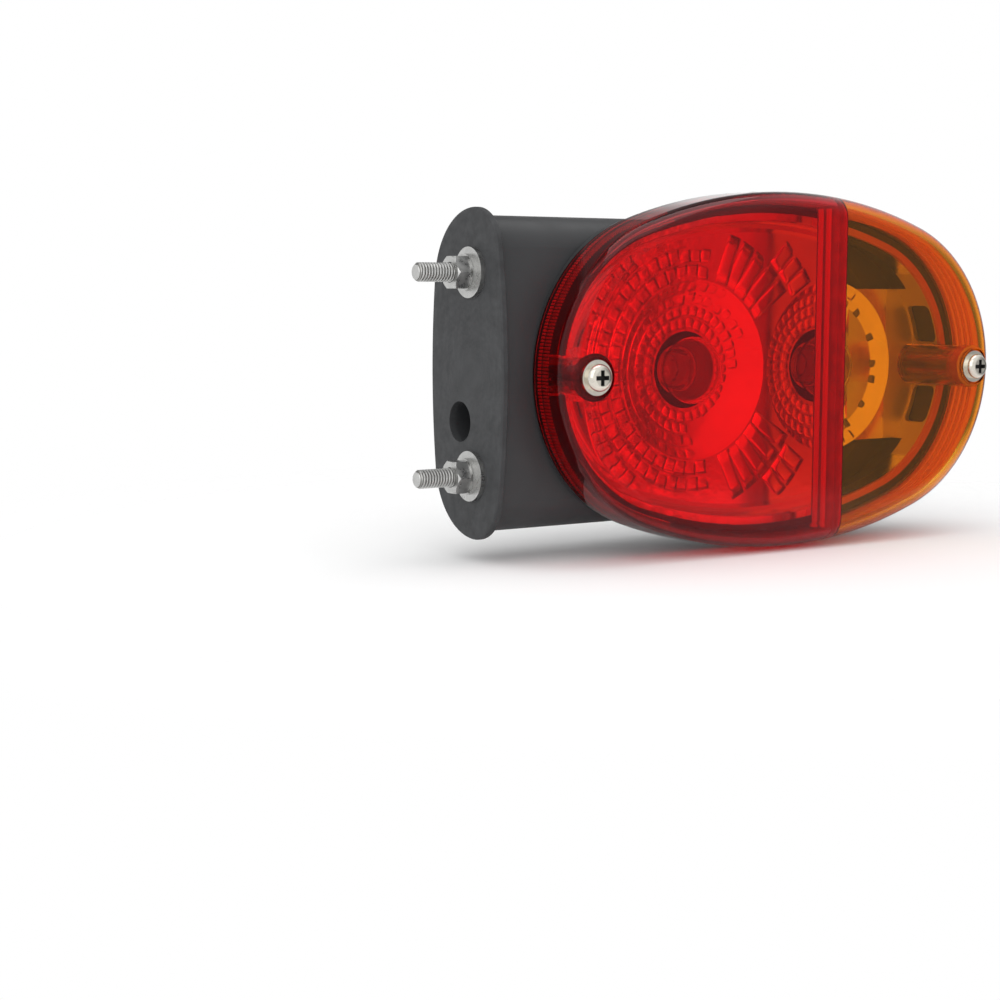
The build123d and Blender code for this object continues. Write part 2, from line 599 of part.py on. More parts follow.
def make_earth_strip():
    """Stepped brass strip lying on both holder flanges."""
    low = holder_levels(0)[0] + HOLDER_FLANGE_THICKNESS
    high = holder_levels(INDICATOR_DROP)[0] + HOLDER_FLANGE_THICKNESS
    inside = (CAP_DIAMETER + 2 * HOLDER_CLEARANCE) / 2 + HOLDER_WALL + HOLDER_CLEARANCE
    reach = DISH_HOLE_DIAMETER / 2 + REFLECTOR_WALL
    step_x = (TAIL_STOP_X + INDICATOR_X) / 2
    first = Pos((TAIL_STOP_X + inside + step_x) / 2, low + STRIP_THICKNESS / 2, 0) * Box(
        step_x - TAIL_STOP_X - inside, STRIP_THICKNESS, STRIP_WIDTH)
    second = Pos((INDICATOR_X - inside + step_x) / 2, high + STRIP_THICKNESS / 2, 0) * Box(
        INDICATOR_X - inside - step_x, STRIP_THICKNESS, STRIP_WIDTH)
    riser = Pos(step_x, (low + high + STRIP_THICKNESS) / 2, 0) * Box(
        STRIP_THICKNESS, high - low + STRIP_THICKNESS, STRIP_WIDTH)
    return first + second + riser


def make_parts():
    red_lens, amber_lens = make_lenses()
    parts = {
        "housing": make_housing(),
        "mounting_pad": make_mounting_pad(),
        "red_lens": red_lens,
        "amber_lens": amber_lens,
        "lens_seal": make_lens_seal(),
        "reflector": make_reflector(),
        "earth_strip": make_earth_strip(),
    }
    for level, z in STUD_LEVELS.items():
        parts[f"mounting_stud_{level}"] = make_mounting_stud(z)
        parts[f"flat_washer_{level}"] = make_flat_washer(z)
        parts[f"spring_washer_{level}"] = make_spring_washer(z)
        parts[f"mounting_nut_{level}"] = make_mounting_nut(z)
    for side, x in (("inner", INNER_SCREW_X), ("outer", OUTER_SCREW_X)):
        parts[f"lens_screw_{side}"] = make_lens_screw(x)
        parts[f"lens_washer_{side}"] = make_lens_washer(x)
        parts[f"screw_insert_{side}"] = make_screw_insert(x)
    for lamp, x, drop in (("tail_stop", TAIL_STOP_X, 0.0), ("indicator", INDICATOR_X, INDICATOR_DROP)):
        parts[f"{lamp}_bulb_glass"] = make_bulb_glass(x, drop)
        parts[f"{lamp}_bulb_cap"] = make_bulb_cap(x, drop)
        parts[f"{lamp}_bulb_holder"] = make_bulb_holder(x, drop)
        parts[f"{lamp}_contact_disc"] = make_contact_disc(x, drop)
        parts[f"{lamp}_contact_blade"] = make_contact_blade(x, drop)
    return parts


os.makedirs("parts", exist_ok=True)
for name, part in make_parts().items():
    export_step(part, f"parts/{name}.step")
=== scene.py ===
import math
import random
from collections import namedtuple

import bmesh
import bpy
from bpy.props import FloatProperty, FloatVectorProperty, IntProperty, PointerProperty
from mathutils import Euler, Matrix, Vector


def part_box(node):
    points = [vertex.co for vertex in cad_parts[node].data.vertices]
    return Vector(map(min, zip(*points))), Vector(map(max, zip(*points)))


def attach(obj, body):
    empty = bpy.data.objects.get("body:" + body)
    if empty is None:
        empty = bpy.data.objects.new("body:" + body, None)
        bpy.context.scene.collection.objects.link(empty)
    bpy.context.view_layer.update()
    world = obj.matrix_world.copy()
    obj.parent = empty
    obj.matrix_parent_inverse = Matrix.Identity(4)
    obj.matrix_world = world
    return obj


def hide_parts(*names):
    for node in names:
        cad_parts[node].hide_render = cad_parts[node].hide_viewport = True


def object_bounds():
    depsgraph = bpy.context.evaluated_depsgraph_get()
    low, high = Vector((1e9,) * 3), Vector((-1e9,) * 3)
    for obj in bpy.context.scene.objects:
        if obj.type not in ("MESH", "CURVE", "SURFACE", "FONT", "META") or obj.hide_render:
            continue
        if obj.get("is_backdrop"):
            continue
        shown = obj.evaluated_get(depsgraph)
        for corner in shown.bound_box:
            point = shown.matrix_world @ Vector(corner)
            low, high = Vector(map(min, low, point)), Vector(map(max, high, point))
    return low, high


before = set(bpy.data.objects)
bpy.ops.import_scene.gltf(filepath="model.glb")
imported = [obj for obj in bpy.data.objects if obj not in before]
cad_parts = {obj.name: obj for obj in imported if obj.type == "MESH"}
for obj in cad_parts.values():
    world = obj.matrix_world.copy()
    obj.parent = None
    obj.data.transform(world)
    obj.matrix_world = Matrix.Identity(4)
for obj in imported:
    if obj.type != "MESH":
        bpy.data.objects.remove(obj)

bl_info = {
    "name": "Tail Light Cluster",
    "version": (1, 0, 0),
    "blender": (4, 5, 0),
    "location": "3D View > Sidebar > Tail Light",
    "description": "Dresses a side-arm tail light: lens, reflector, bulbs, studs, housing and stage",
    "category": "Object",
}

CAD_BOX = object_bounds()
MM = 0.001
LEVELS = ("upper", "lower")
LAMPS = ("tail_stop", "indicator")
SCREWS = ("inner", "outer")


def node_low(name):
    """Lowest corner of a CAD node."""
    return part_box(name)[0]


def node_high(name):
    """Highest corner of a CAD node."""
    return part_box(name)[1]


def node_middle(name):
    """Middle of a CAD node's box."""
    low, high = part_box(name)
    return (Vector(low) + Vector(high)) / 2


# Lens outline, as two end arcs and two side arcs, and its seam
LENS_START_X = node_low("red_lens")[0]
LENS_END_X = node_high("amber_lens")[0]
LENS_MIDDLE_X = (LENS_START_X + LENS_END_X) / 2
LENS_HALF_HEIGHT = node_high("red_lens")[2]
SEAM_X = node_high("red_lens")[0]
RIM_Y = node_low("housing")[1]
END_SHARE = 0.88

# Clear mouldings: their clearness, their tint in lamp light, and where they turn deep
CLEARNESS = 0.98
FLUTE_CLEARNESS = 0.45
GLASS_CLEARNESS = 0.96
ACRYLIC_IOR = 1.49
FACE_SHEEN = (0.36, 0.29, 0.29, 1)
RED_VEIL = (0.9, 0.05, 0.07, 1)
DEEP_RED_VEIL = (0.7, 0.03, 0.04, 1)
AMBER_VEIL = (0.92, 0.5, 0.05, 1)
RED_DEEPENS_Y = (-31.5 * MM, -28.0 * MM)
AMBER_DEEPENS_Y = (-35.6 * MM, -31.0 * MM)
SHOULDER_INSET = (2.5 * MM, 5.5 * MM)
SHOULDER_STARTS_X = (20.0 * MM, 36.0 * MM)

# Ribs, bars, collars and sleeve inside the lens
RIB_STEP = 1.5 * MM
RIB_BREAK_X = 180 * MM
RIB_BREAK_HALF = 1.6 * MM
PARTITION_X = SEAM_X - 2.4 * MM
PARTITION_BARS = ((-29.4 * MM, 53.8 * MM), (-25.6 * MM, 54.2 * MM))
COLLAR_MM = ((5.75, -33.45), (7.4, -33.45), (7.1, -32.7), (6.3, -31.0), (5.9, -27.5), (5.75, -27.5))
SLEEVE_MM = ((5.85, -33.3), (7.4, -33.3), (7.4, -4.3), (5.85, -4.3))
SLEEVE_DEGREES = range(95, 266, 5)
WELD_MM = ((50.0, -35.6), (52.5, -34.8), (54.6, -33.0), (55.6, -30.0), (55.9, -27.0))
WELD_BACK = -23.0 * MM
WELD_SIDES = (SEAM_X - 0.9 * MM, SEAM_X - 0.1 * MM)

# Reflector: plate, dishes and side wall
REFLECTOR_LEVEL = -10 * MM
INDICATOR_LEVEL = REFLECTOR_LEVEL + 3 * MM
DISH_RIM = 30 * MM
DISH_HOLE = 12.9 * MM
DISH_DEPTH = 5 * MM
DISH_SAG = 1.25 * MM
DISH_MARGIN = 0.6 * MM
PLATE_END_X = SEAM_X + 15 * MM
PLATE_REACH = 76 * MM
WALL_INSET = 9.1 * MM
SINK = 0.05 * MM
LIFT = 0.1 * MM

# Finish of the reflector: where its film is dimpled, mottled, satin or left off
DIMPLES_FADE_X = (70.0 * MM, 96.0 * MM)
MOTTLE_FADES_X = (68.0 * MM, 90.0 * MM)
STRAP_STARTS_X = (172.0 * MM, 173.0 * MM)
BARE_EDGE_Y = -15.75 * MM
BARE_INSET = 6.7 * MM
BARE_NARROWS_X = (24.0 * MM, 50.0 * MM)

# Facets: rings of pillows, with the sectors that they fill in degrees
FACET_SEED = 11
FACET_FILL = 0.998
DOT_FILL = 0.3
FACET_LIFT = 0.3
FULL_TILT_WIDTH = 3.5 * MM
TAIL_STOP_SECTORS = ((0, 360), (0, 275), (25, 270), (60, 270))
INDICATOR_SECTOR = (60, 300)
DOT_SECTORS = ((0, 60), (300, 360))
PLATE_SECTOR = (82, 278)
FAN_SECTORS = ((0, 82), (278, 360))
RIDGE_DEGREES = range(96, 268, 2)
OUTER_FAN_END = 11 * MM
OUTER_FAN_BULGE = 1.5
Ring = namedtuple("Ring", "inner outer arc bulge in_dish first last fill", defaults=(FACET_FILL,))

# Screws, studs, and the gaskets whose dark rubber stands in for painted shade round the bulbs
# Half length and half width of the cross recess that gets painted shade
CROSS_HALF_LENGTH = 2.4 * MM
CROSS_HALF_WIDTH = 0.68 * MM
THREAD_RADIUS = 3.0 * MM
# Radii over which the painted shade in the thread roots fades out
THREAD_ROOT = (2.5 * MM, 2.9 * MM)
THREAD_FLANK = 1.5
TIP_DEPTH = 1.36
HEAD_HALF_WIDTH = 5 * MM
HEAD_HEIGHT = 4 * MM
SHADE_GASKET_HOLE = 8.35 * MM
SHADE_GASKET_SLACK = 0.02 * MM

# Studio: floor, lights, and the directions in which the room is dim, with how near to them it fades
FLOOR_MIDDLE = (0.09, 0.0)
FLOOR_RADIUS = 0.36
FLOOR_SIDES = 96
FLOOR_FADE = (0.12, 0.3)
FLOOR_GAP = 0.3 * MM
SENSOR_WIDTH = 36
LIGHT_TARGET = (0.09, -0.01, 0.0)
STUDIO_LIGHTS = (("key", (-0.75, -0.6, 0.55), 1.2, 4.0), ("top", (0.15, 0.1, 1.0), 0.9, 3.0))
DIM_SIDE = (0.961, -0.276, -0.03)
DIM_SIDE_FADE = (0.66, 1.0)
DIM_CEILING = (0.17, 0.64, 0.75)
DIM_CEILING_FADE = (0.79, 0.89)


class LampFinishes(bpy.types.PropertyGroup):
    """Colours of the finishes on the lamp."""

    housing: FloatVectorProperty(
        name="Housing plastic", description="Black moulded housing", subtype="COLOR",
        size=4, min=0, max=1, default=(0.031, 0.032, 0.034, 1))
    pad: FloatVectorProperty(
        name="Pad rubber", description="Pad between the arm and the vehicle", subtype="COLOR",
        size=4, min=0, max=1, default=(0.038, 0.039, 0.041, 1))
    red: FloatVectorProperty(
        name="Red acrylic", description="Clear red lens", subtype="COLOR",
        size=4, min=0, max=1, default=(0.99, 0.03, 0.05, 1))
    amber: FloatVectorProperty(
        name="Amber acrylic", description="Clear amber lens", subtype="COLOR",
        size=4, min=0, max=1, default=(0.97, 0.57, 0.04, 1))
    deep_red: FloatVectorProperty(
        name="Deep red", description="Side wall and ribs of the red lens, seen through more material",
        subtype="COLOR", size=4, min=0, max=1, default=(0.42, 0.005, 0.011, 1))
    deep_amber: FloatVectorProperty(
        name="Deep amber", description="Side wall of the amber lens, seen through more material",
        subtype="COLOR", size=4, min=0, max=1, default=(0.7, 0.125, 0.008, 1))
    metallised: FloatVectorProperty(
        name="Metallised reflector", description="Bright film on the reflector", subtype="COLOR",
        size=4, min=0, max=1, default=(0.94, 0.94, 0.95, 1))
    zinc: FloatVectorProperty(
        name="Zinc plate", description="Studs, nuts and washers", subtype="COLOR",
        size=4, min=0, max=1, default=(0.5, 0.5, 0.49, 1))
    nickel: FloatVectorProperty(
        name="Nickel plate", description="Lens screws and their washers", subtype="COLOR",
        size=4, min=0, max=1, default=(0.72, 0.68, 0.6, 1))
    brass: FloatVectorProperty(
        name="Brass", description="Holders, inserts and contacts", subtype="COLOR",
        size=4, min=0, max=1, default=(0.78, 0.58, 0.26, 1))


class StudSizes(bpy.types.PropertyGroup):
    """Sizes of the thread on the mounting studs."""

    pitch: FloatProperty(
        name="Pitch", description="Distance from one thread to the next", unit="LENGTH",
        min=0.0004, default=1.0 * MM)
    depth: FloatProperty(
        name="Depth", description="Depth of the thread", unit="LENGTH", min=0.0001, default=0.55 * MM)
    tip: FloatProperty(
        name="Tip taper", description="Length of the taper at the tip", unit="LENGTH",
        min=0.0002, default=0.9 * MM)
    sides: IntProperty(name="Sides", description="Points round the stud", min=12, default=40)
    rows: IntProperty(name="Rows", description="Rows of points on each turn", min=4, default=8)


class FluteSizes(bpy.types.PropertyGroup):
    """Sizes of the fine flutes inside the red side wall."""

    pitch: FloatProperty(
        name="Pitch", description="Distance between flutes", unit="LENGTH", min=0.0004, default=1.05 * MM)
    radius: FloatProperty(
        name="Radius", description="Radius of one flute", unit="LENGTH", min=0.0001, default=0.38 * MM)
    length: FloatProperty(
        name="Length", description="Length of one flute from the rim", unit="LENGTH",
        min=0.001, default=4.6 * MM)
    foot: FloatProperty(
        name="Foot", description="From the rim to the foot of a flute", unit="LENGTH", min=0,
        default=0.4 * MM)
    inset: FloatProperty(
        name="Inset", description="From the lens outline to the middle of a flute", unit="LENGTH",
        min=0.001, default=3.5 * MM)
    end_x: FloatProperty(
        name="End", description="How far along the lamp the flutes reach", unit="LENGTH",
        default=62 * MM)


class FacetSizes(bpy.types.PropertyGroup):
    """Sizes of the pillow facets on the reflector."""

    dash_arc: FloatProperty(
        name="Dash facet", description="Length of one small facet next to a bulb", unit="LENGTH",
        min=0.001, default=3.3 * MM)
    dash_bulge: FloatProperty(
        name="Dash bulge", description="Height of a small facet, as a share of its width",
        min=0, max=0.5, default=0.075)
    dish_arc: FloatProperty(
        name="Dish facet", description="Length of one facet in the outer rings of a dish", unit="LENGTH",
        min=0.001, default=4.2 * MM)
    dish_bulge: FloatProperty(
        name="Dish bulge", description="Height of a dish facet, as a share of its width",
        min=0, max=0.5, default=0.025)
    plate_ring: FloatProperty(
        name="Plate ring", description="Width of one ring of facets on the plate", unit="LENGTH",
        min=0.001, default=5.4 * MM)
    plate_arc: FloatProperty(
        name="Plate facet", description="Length of one facet on the plate", unit="LENGTH",
        min=0.001, default=4.4 * MM)
    plate_bulge: FloatProperty(
        name="Plate bulge", description="Height of a plate facet, as a share of its width",
        min=0, max=0.5, default=0.014)
    strip_length: FloatProperty(
        name="Strip length", description="Length of the strips that fan out beside the partition",
        unit="LENGTH", min=0.002, default=17 * MM)
    strip_width: FloatProperty(
        name="Strip width", description="Width of one strip at its middle", unit="LENGTH",
        min=0.001, default=5.6 * MM)
    strip_bulge: FloatProperty(
        name="Strip bulge", description="Height of a strip, as a share of its length",
        min=0, max=0.5, default=0.009)
    ridge: FloatProperty(
        name="Ridge", description="Width of the fine ridge between two rings", unit="LENGTH",
        min=0.0002, default=0.8 * MM)
    border: FloatProperty(
        name="Plain border", description="Plain edge of the plate", unit="LENGTH", min=0,
        default=4.4 * MM)
    tilt: FloatProperty(
        name="Tilt", description="Most that one facet leans on its own", subtype="ANGLE", unit="ROTATION",
        min=0, default=math.radians(2.2))


class EdgeSizes(bpy.types.PropertyGroup):
    """Sizes of the sloping edge of the reflector."""

    cove_front: FloatProperty(
        name="Cove front", description="Front of the cove along the side wall", unit="LENGTH",
        default=-15.6 * MM)
    cove_width: FloatProperty(
        name="Cove width", description="How far the cove runs in from the side wall", unit="LENGTH",
        min=0.001, default=3.6 * MM)
    cove_end: FloatProperty(
        name="Cove end", description="How far along the lamp the cove reaches", unit="LENGTH",
        default=137 * MM)
    ramp_inset: FloatProperty(
        name="Ramp inset", description="From the lens outline to the foot of an end ramp", unit="LENGTH",
        min=0.001, default=14.5 * MM)
    ramp_width: FloatProperty(
        name="Ramp width", description="Most that an end ramp is wide", unit="LENGTH",
        min=0.001, default=5.5 * MM)
    ramp_front: FloatProperty(
        name="Ramp front", description="Front of an end ramp at its widest place", unit="LENGTH",
        default=-15.6 * MM)
    ramp_reach: FloatProperty(
        name="Ramp reach", description="How far up or down from the screw a ramp reaches", unit="LENGTH",
        min=0.01, default=34 * MM)
    screw_gap: FloatProperty(
        name="Screw gap", description="Space left round the lens screw", unit="LENGTH", min=0.001,
        default=8.6 * MM)


class RibSizes(bpy.types.PropertyGroup):
    """Sizes of the ribs inside the lens."""

    count: IntProperty(name="Ribs", description="Ribs round the amber side wall", min=1, default=4)
    first: FloatProperty(
        name="First rib", description="From the rim to the front of the first rib", unit="LENGTH",
        min=0.0002, default=3.0 * MM)
    pitch: FloatProperty(
        name="Pitch", description="Distance from one rib to the next", unit="LENGTH", min=0.0005,
        default=2.6 * MM)
    width: FloatProperty(
        name="Width", description="Width of one rib", unit="LENGTH", min=0.0002, default=1.2 * MM)
    proud: FloatProperty(
        name="Height", description="How far a rib stands off the wall", unit="LENGTH", min=0.0001,
        default=0.8 * MM)
    inset: FloatProperty(
        name="Inset", description="From the lens outline to the foot of a rib", unit="LENGTH", min=0.001,
        default=2.65 * MM)
    bar_width: FloatProperty(
        name="Bar width", description="Width of one bar on the partition", unit="LENGTH", min=0.0002,
        default=2.8 * MM)
    bar_proud: FloatProperty(
        name="Bar height", description="How far a bar stands off the partition", unit="LENGTH", min=0.0001,
        default=0.5 * MM)


class StageSizes(bpy.types.PropertyGroup):
    """Camera and light of the studio."""

    camera_place: FloatVectorProperty(
        name="Camera place", description="Where the camera stands", subtype="TRANSLATION",
        unit="LENGTH", default=(-0.294419, -0.482687, 0.026916))
    camera_turn: FloatVectorProperty(
        name="Camera turn", description="How the camera is turned", subtype="EULER", unit="ROTATION",
        default=(1.4536152, -0.0012883, -0.5633106))
    camera_lens: FloatProperty(
        name="Lens", description="Focal length on a 36 mm sensor", unit="CAMERA", default=64.59)
    room: FloatProperty(
        name="Room light", description="Strength of the dim side of the room", min=0, default=0.15)
    ceiling: FloatProperty(
        name="Ceiling light", description="Strength of the dim part of the ceiling", min=0, default=0.2)


def new_material(name):
    """A node material with only its output and a Principled shader."""
    material = bpy.data.materials.new(name)
    material.use_nodes = True
    tree = material.node_tree
    tree.nodes.clear()
    output = tree.nodes.new("ShaderNodeOutputMaterial")
    shader = tree.nodes.new("ShaderNodeBsdfPrincipled")
    tree.links.new(shader.outputs["BSDF"], output.inputs["Surface"])
    return material, tree, shader


def find(tree, kind):
    """The node of a kind that a tree has once."""
    return next(node for node in tree.nodes if node.type == kind)


def noise(tree, scale, detail=4.0, roughness=0.55, stretch=(1, 1, 1)):
    """Noise on Object coordinates, with the scale in features to the metre."""
    coordinates = tree.nodes.new("ShaderNodeTexCoord")
    mapping = tree.nodes.new("ShaderNodeMapping")
    mapping.inputs["Scale"].default_value = stretch
    tree.links.new(coordinates.outputs["Object"], mapping.inputs["Vector"])
    texture = tree.nodes.new("ShaderNodeTexNoise")
    texture.inputs["Scale"].default_value = scale
    texture.inputs["Detail"].default_value = detail
    texture.inputs["Roughness"].default_value = roughness
    tree.links.new(mapping.outputs["Vector"], texture.inputs["Vector"])
    return texture.outputs["Fac"]


def spread(tree, factor, low, high, start=0.35, end=0.65):
    """Maps the middle of a noise onto a range of values."""
    node = tree.nodes.new("ShaderNodeMapRange")
    node.inputs["From Min"].default_value = start
    node.inputs["From Max"].default_value = end
    node.inputs["To Min"].default_value = low
    node.inputs["To Max"].default_value = high
    tree.links.new(factor, node.inputs["Value"])
    return node.outputs["Result"]


def tones(tree, factor, stops):
    """Colour ramp through the given places and colours."""
    node = tree.nodes.new("ShaderNodeValToRGB")
    elements = node.color_ramp.elements
    while len(elements) < len(stops):
        elements.new(0.5)
    for element, (place, colour) in zip(elements, stops):
        element.position = place
        element.color = colour
    tree.links.new(factor, node.inputs["Fac"])
    return node.outputs["Color"]


def tint(tree, shader, factor, dark, light, ends=(0.3, 0.7)):
    """Base colour that runs between two tones along a factor."""
    stops = ((ends[0], dark), (ends[1], light))
    tree.links.new(tones(tree, factor, stops), shader.inputs["Base Color"])


def gloss(tree, shader, factor, low, high):
    """Roughness that varies between two values along a factor."""
    tree.links.new(spread(tree, factor, low, high), shader.inputs["Roughness"])


def bump(tree, shader, height, strength, distance):
    """Fine relief of the surface."""
    node = tree.nodes.new("ShaderNodeBump")
    node.inputs["Strength"].default_value = strength
    node.inputs["Distance"].default_value = distance
    tree.links.new(height, node.inputs["Height"])
    tree.links.new(node.outputs["Normal"], shader.inputs["Normal"])


def see_through(tree, shader, factor, colour):
    """Turns a material to tinted air where the factor is 1."""
    air = tree.nodes.new("ShaderNodeBsdfTransparent")
    air.inputs["Color"].default_value = colour
    mix = tree.nodes.new("ShaderNodeMixShader")
    tree.links.new(factor, mix.inputs["Fac"])
    tree.links.new(shader.outputs["BSDF"], mix.inputs[1])
    tree.links.new(air.outputs["BSDF"], mix.inputs[2])
    tree.links.new(mix.outputs["Shader"], find(tree, "OUTPUT_MATERIAL").inputs["Surface"])


def axes(tree):
    """X, Y and Z of the Object coordinates."""
    coordinates = tree.nodes.new("ShaderNodeTexCoord")
    split = tree.nodes.new("ShaderNodeSeparateXYZ")
    tree.links.new(coordinates.outputs["Object"], split.inputs["Vector"])
    return split.outputs["X"], split.outputs["Y"], split.outputs["Z"]


def sum_up(tree, operation, *values):
    """Math node on sockets and plain numbers."""
    node = tree.nodes.new("ShaderNodeMath")
    node.operation = operation
    for socket, value in zip(node.inputs, values):
        if isinstance(value, (int, float)):
            socket.default_value = value
        else:
            tree.links.new(value, socket)
    return node.outputs["Value"]


def diagonal(tree, across, up):
    """Length of the line that goes so far across and so far up."""
    squares = [sum_up(tree, "MULTIPLY", side, side) for side in (across, up)]
    return sum_up(tree, "SQRT", sum_up(tree, "ADD", *squares))


def edge_distance(tree):
    """How far a place lies in from the lens outline, worked out from its end and side arcs."""
    end_radius, end_centre, side_radius, side_centre = outline_arcs(0.0)
    x, _, z = axes(tree)
    across = sum_up(tree, "ABSOLUTE", sum_up(tree, "SUBTRACT", x, LENS_MIDDLE_X))
    up = sum_up(tree, "ABSOLUTE", z)
    past_centre = sum_up(tree, "SUBTRACT", across, end_centre)
    from_end = sum_up(tree, "SUBTRACT", end_radius, diagonal(tree, past_centre, up))
    over_centre = sum_up(tree, "ADD", up, side_centre)
    from_side = sum_up(tree, "SUBTRACT", side_radius, diagonal(tree, across, over_centre))
    turn = math.atan2(side_centre, end_centre)
    at_end = sum_up(tree, "GREATER_THAN", across, end_centre + end_radius * math.cos(turn))
    beside = sum_up(tree, "SUBTRACT", 1.0, at_end)
    return sum_up(tree, "ADD", sum_up(tree, "MULTIPLY", at_end, from_end),
                  sum_up(tree, "MULTIPLY", beside, from_side))


def second_finish(material, mask, colour, roughness, metallic):
    """Lays another finish over a material where the mask is 1."""
    tree = material.node_tree
    shader = find(tree, "BSDF_PRINCIPLED")
    for label, kind, first, result, value in (
        ("Base Color", "RGBA", 6, 2, colour),
        ("Roughness", "FLOAT", 2, 0, roughness),
        ("Metallic", "FLOAT", 2, 0, metallic),
    ):
        socket = shader.inputs[label]
        mix = tree.nodes.new("ShaderNodeMix")
        mix.data_type = kind
        tree.links.new(mask, mix.inputs[0])
        if socket.is_linked:
            tree.links.new(socket.links[0].from_socket, mix.inputs[first])
        else:
            mix.inputs[first].default_value = socket.default_value
        mix.inputs[first + 1].default_value = value
        tree.links.new(mix.outputs[result], socket)


def shade(colour, share):
    """The colour made lighter or darker, with its alpha kept."""
    return (*(min(1.0, c * share) for c in colour[:3]), 1.0)


def housing_plastic(colour):
    """Black plastic with a fine moulded grain and faint handling marks."""
    material, tree, shader = new_material("housing_plastic")
    tint(tree, shader, noise(tree, 28.0, 5.0), shade(colour, 0.88), shade(colour, 1.16))
    gloss(tree, shader, noise(tree, 90.0, 6.0), 0.40, 0.52)
    bump(tree, shader, noise(tree, 2600.0, 3.0), 0.22, 0.00006)
    shader.inputs["Specular IOR Level"].default_value = 0.42
    return material


def pad_rubber(colour):
    """Matte rubber, a little mottled."""
    material, tree, shader = new_material("pad_rubber")
    mottle = noise(tree, 150.0, 7.0, 0.68)
    tint(tree, shader, mottle, shade(colour, 0.78), shade(colour, 1.3), (0.32, 0.7))
    gloss(tree, shader, noise(tree, 320.0, 5.0), 0.58, 0.74)
    bump(tree, shader, noise(tree, 1500.0, 4.0), 0.3, 0.00009)
    shader.inputs["Specular IOR Level"].default_value = 0.35
    return material


def clear_moulding(name, colour, veil, haze=(0.02, 0.05), wave=0.05, clearness=CLEARNESS,
                   deep=None, deepens=None):
    """Clear coloured material, deeper on the side wall. Lamp light passes it as tinted air."""
    material, tree, shader = new_material(name)
    shader.inputs["Base Color"].default_value = colour
    shader.inputs["Transmission Weight"].default_value = clearness
    shader.inputs["IOR"].default_value = ACRYLIC_IOR
    shader.inputs["Specular Tint"].default_value = FACE_SHEEN
    if deep is not None:
        x, y, _ = axes(tree)
        by_height = spread(tree, y, 0.0, 1.0, *deepens)
        by_edge = spread(tree, edge_distance(tree), 1.0, 0.0, *SHOULDER_INSET)
        from_inner_end = spread(tree, x, 0.0, 1.0, *SHOULDER_STARTS_X)
        share = sum_up(tree, "MAXIMUM", by_height, sum_up(tree, "MULTIPLY", by_edge, from_inner_end))
        tint(tree, shader, share, colour, deep, (0.0, 1.0))
    gloss(tree, shader, noise(tree, 40.0, 3.0), *haze)
    bump(tree, shader, noise(tree, 60.0, 2.0), wave, 0.0002)
    path = tree.nodes.new("ShaderNodeLightPath")
    see_through(tree, shader, path.outputs["Is Shadow Ray"], veil)
    return material


def bright_metal(name, colour, low, high, grain, scratch):
    """Plated metal with uneven gloss and fine marks."""
    material, tree, shader = new_material(name)
    shader.inputs["Metallic"].default_value = 1.0
    tint(tree, shader, noise(tree, grain, 6.0, 0.6), shade(colour, 0.84), shade(colour, 1.08), (0.3, 0.72))
    gloss(tree, shader, noise(tree, grain * 2.2, 5.0), low, high)
    bump(tree, shader, noise(tree, grain * 7.0, 3.0), scratch, 0.00004)
    return material


def reflector_film(colour):
    """Bright film, dimpled at the inner end, bare black on the flange and satin on the outer strap."""
    material, tree, shader = new_material("metallised")
    shader.inputs["Metallic"].default_value = 1.0
    x, y, _ = axes(tree)
    tint(tree, shader, noise(tree, 60.0, 6.0), shade(colour, 0.88), colour)
    gloss(tree, shader, noise(tree, 130.0, 5.0), 0.14, 0.24)
    inner_end = spread(tree, x, 1.0, 0.12, *DIMPLES_FADE_X)
    bump(tree, shader, sum_up(tree, "MULTIPLY", noise(tree, 300.0, 2.5), inner_end), 0.9, 0.0004)
    mottle = sum_up(tree, "MULTIPLY", spread(tree, noise(tree, 210.0, 4.0, 0.65), 0.0, 0.75, 0.42, 0.62),
                    spread(tree, x, 1.0, 0.0, *MOTTLE_FADES_X))
    second_finish(material, mottle, shade(colour, 0.5), 0.3, 1.0)
    strap = spread(tree, x, 0.0, 1.0, *STRAP_STARTS_X)
    second_finish(material, strap, shade(colour, 0.8), 0.5, 1.0)
    front = sum_up(tree, "LESS_THAN", y, BARE_EDGE_Y)
    bare_inset = spread(tree, x, WALL_INSET + 0.2 * MM, BARE_INSET, *BARE_NARROWS_X)
    outer_half = sum_up(tree, "LESS_THAN", edge_distance(tree), bare_inset)
    amber_side = sum_up(tree, "GREATER_THAN", x, SEAM_X)
    second_finish(material, sum_up(tree, "MULTIPLY", front, amber_side), (0.8, 0.24, 0.14, 1), 0.35, 0.6)
    second_finish(material, sum_up(tree, "MULTIPLY", front, outer_half), (0.02, 0.02, 0.02, 1), 0.45, 0.0)
    return material


def screw_plate(colour):
    """Nickel with painted shade in the cross recess of the two lens screws."""
    material = bright_metal("screw_steel", colour, 0.14, 0.26, 260.0, 0.06)
    tree = material.node_tree
    ends = [node_middle(f"lens_screw_{side}").x for side in SCREWS]
    x, _, z = axes(tree)
    from_middle = sum_up(tree, "ABSOLUTE", sum_up(tree, "SUBTRACT", x, sum(ends) / 2))
    across = sum_up(tree, "ABSOLUTE", sum_up(tree, "SUBTRACT", from_middle, (ends[1] - ends[0]) / 2))
    upright = sum_up(tree, "ABSOLUTE", z)
    bars = []
    for long_way, short_way in ((across, upright), (upright, across)):
        bars.append(sum_up(tree, "MULTIPLY", sum_up(tree, "LESS_THAN", long_way, CROSS_HALF_LENGTH),
                           sum_up(tree, "LESS_THAN", short_way, CROSS_HALF_WIDTH)))
    # painted shade: the cross recess is coloured near black, for the shade that falls in it
    second_finish(material, sum_up(tree, "MAXIMUM", *bars), (0.012, 0.011, 0.01, 1), 0.7, 0.0)
    return material


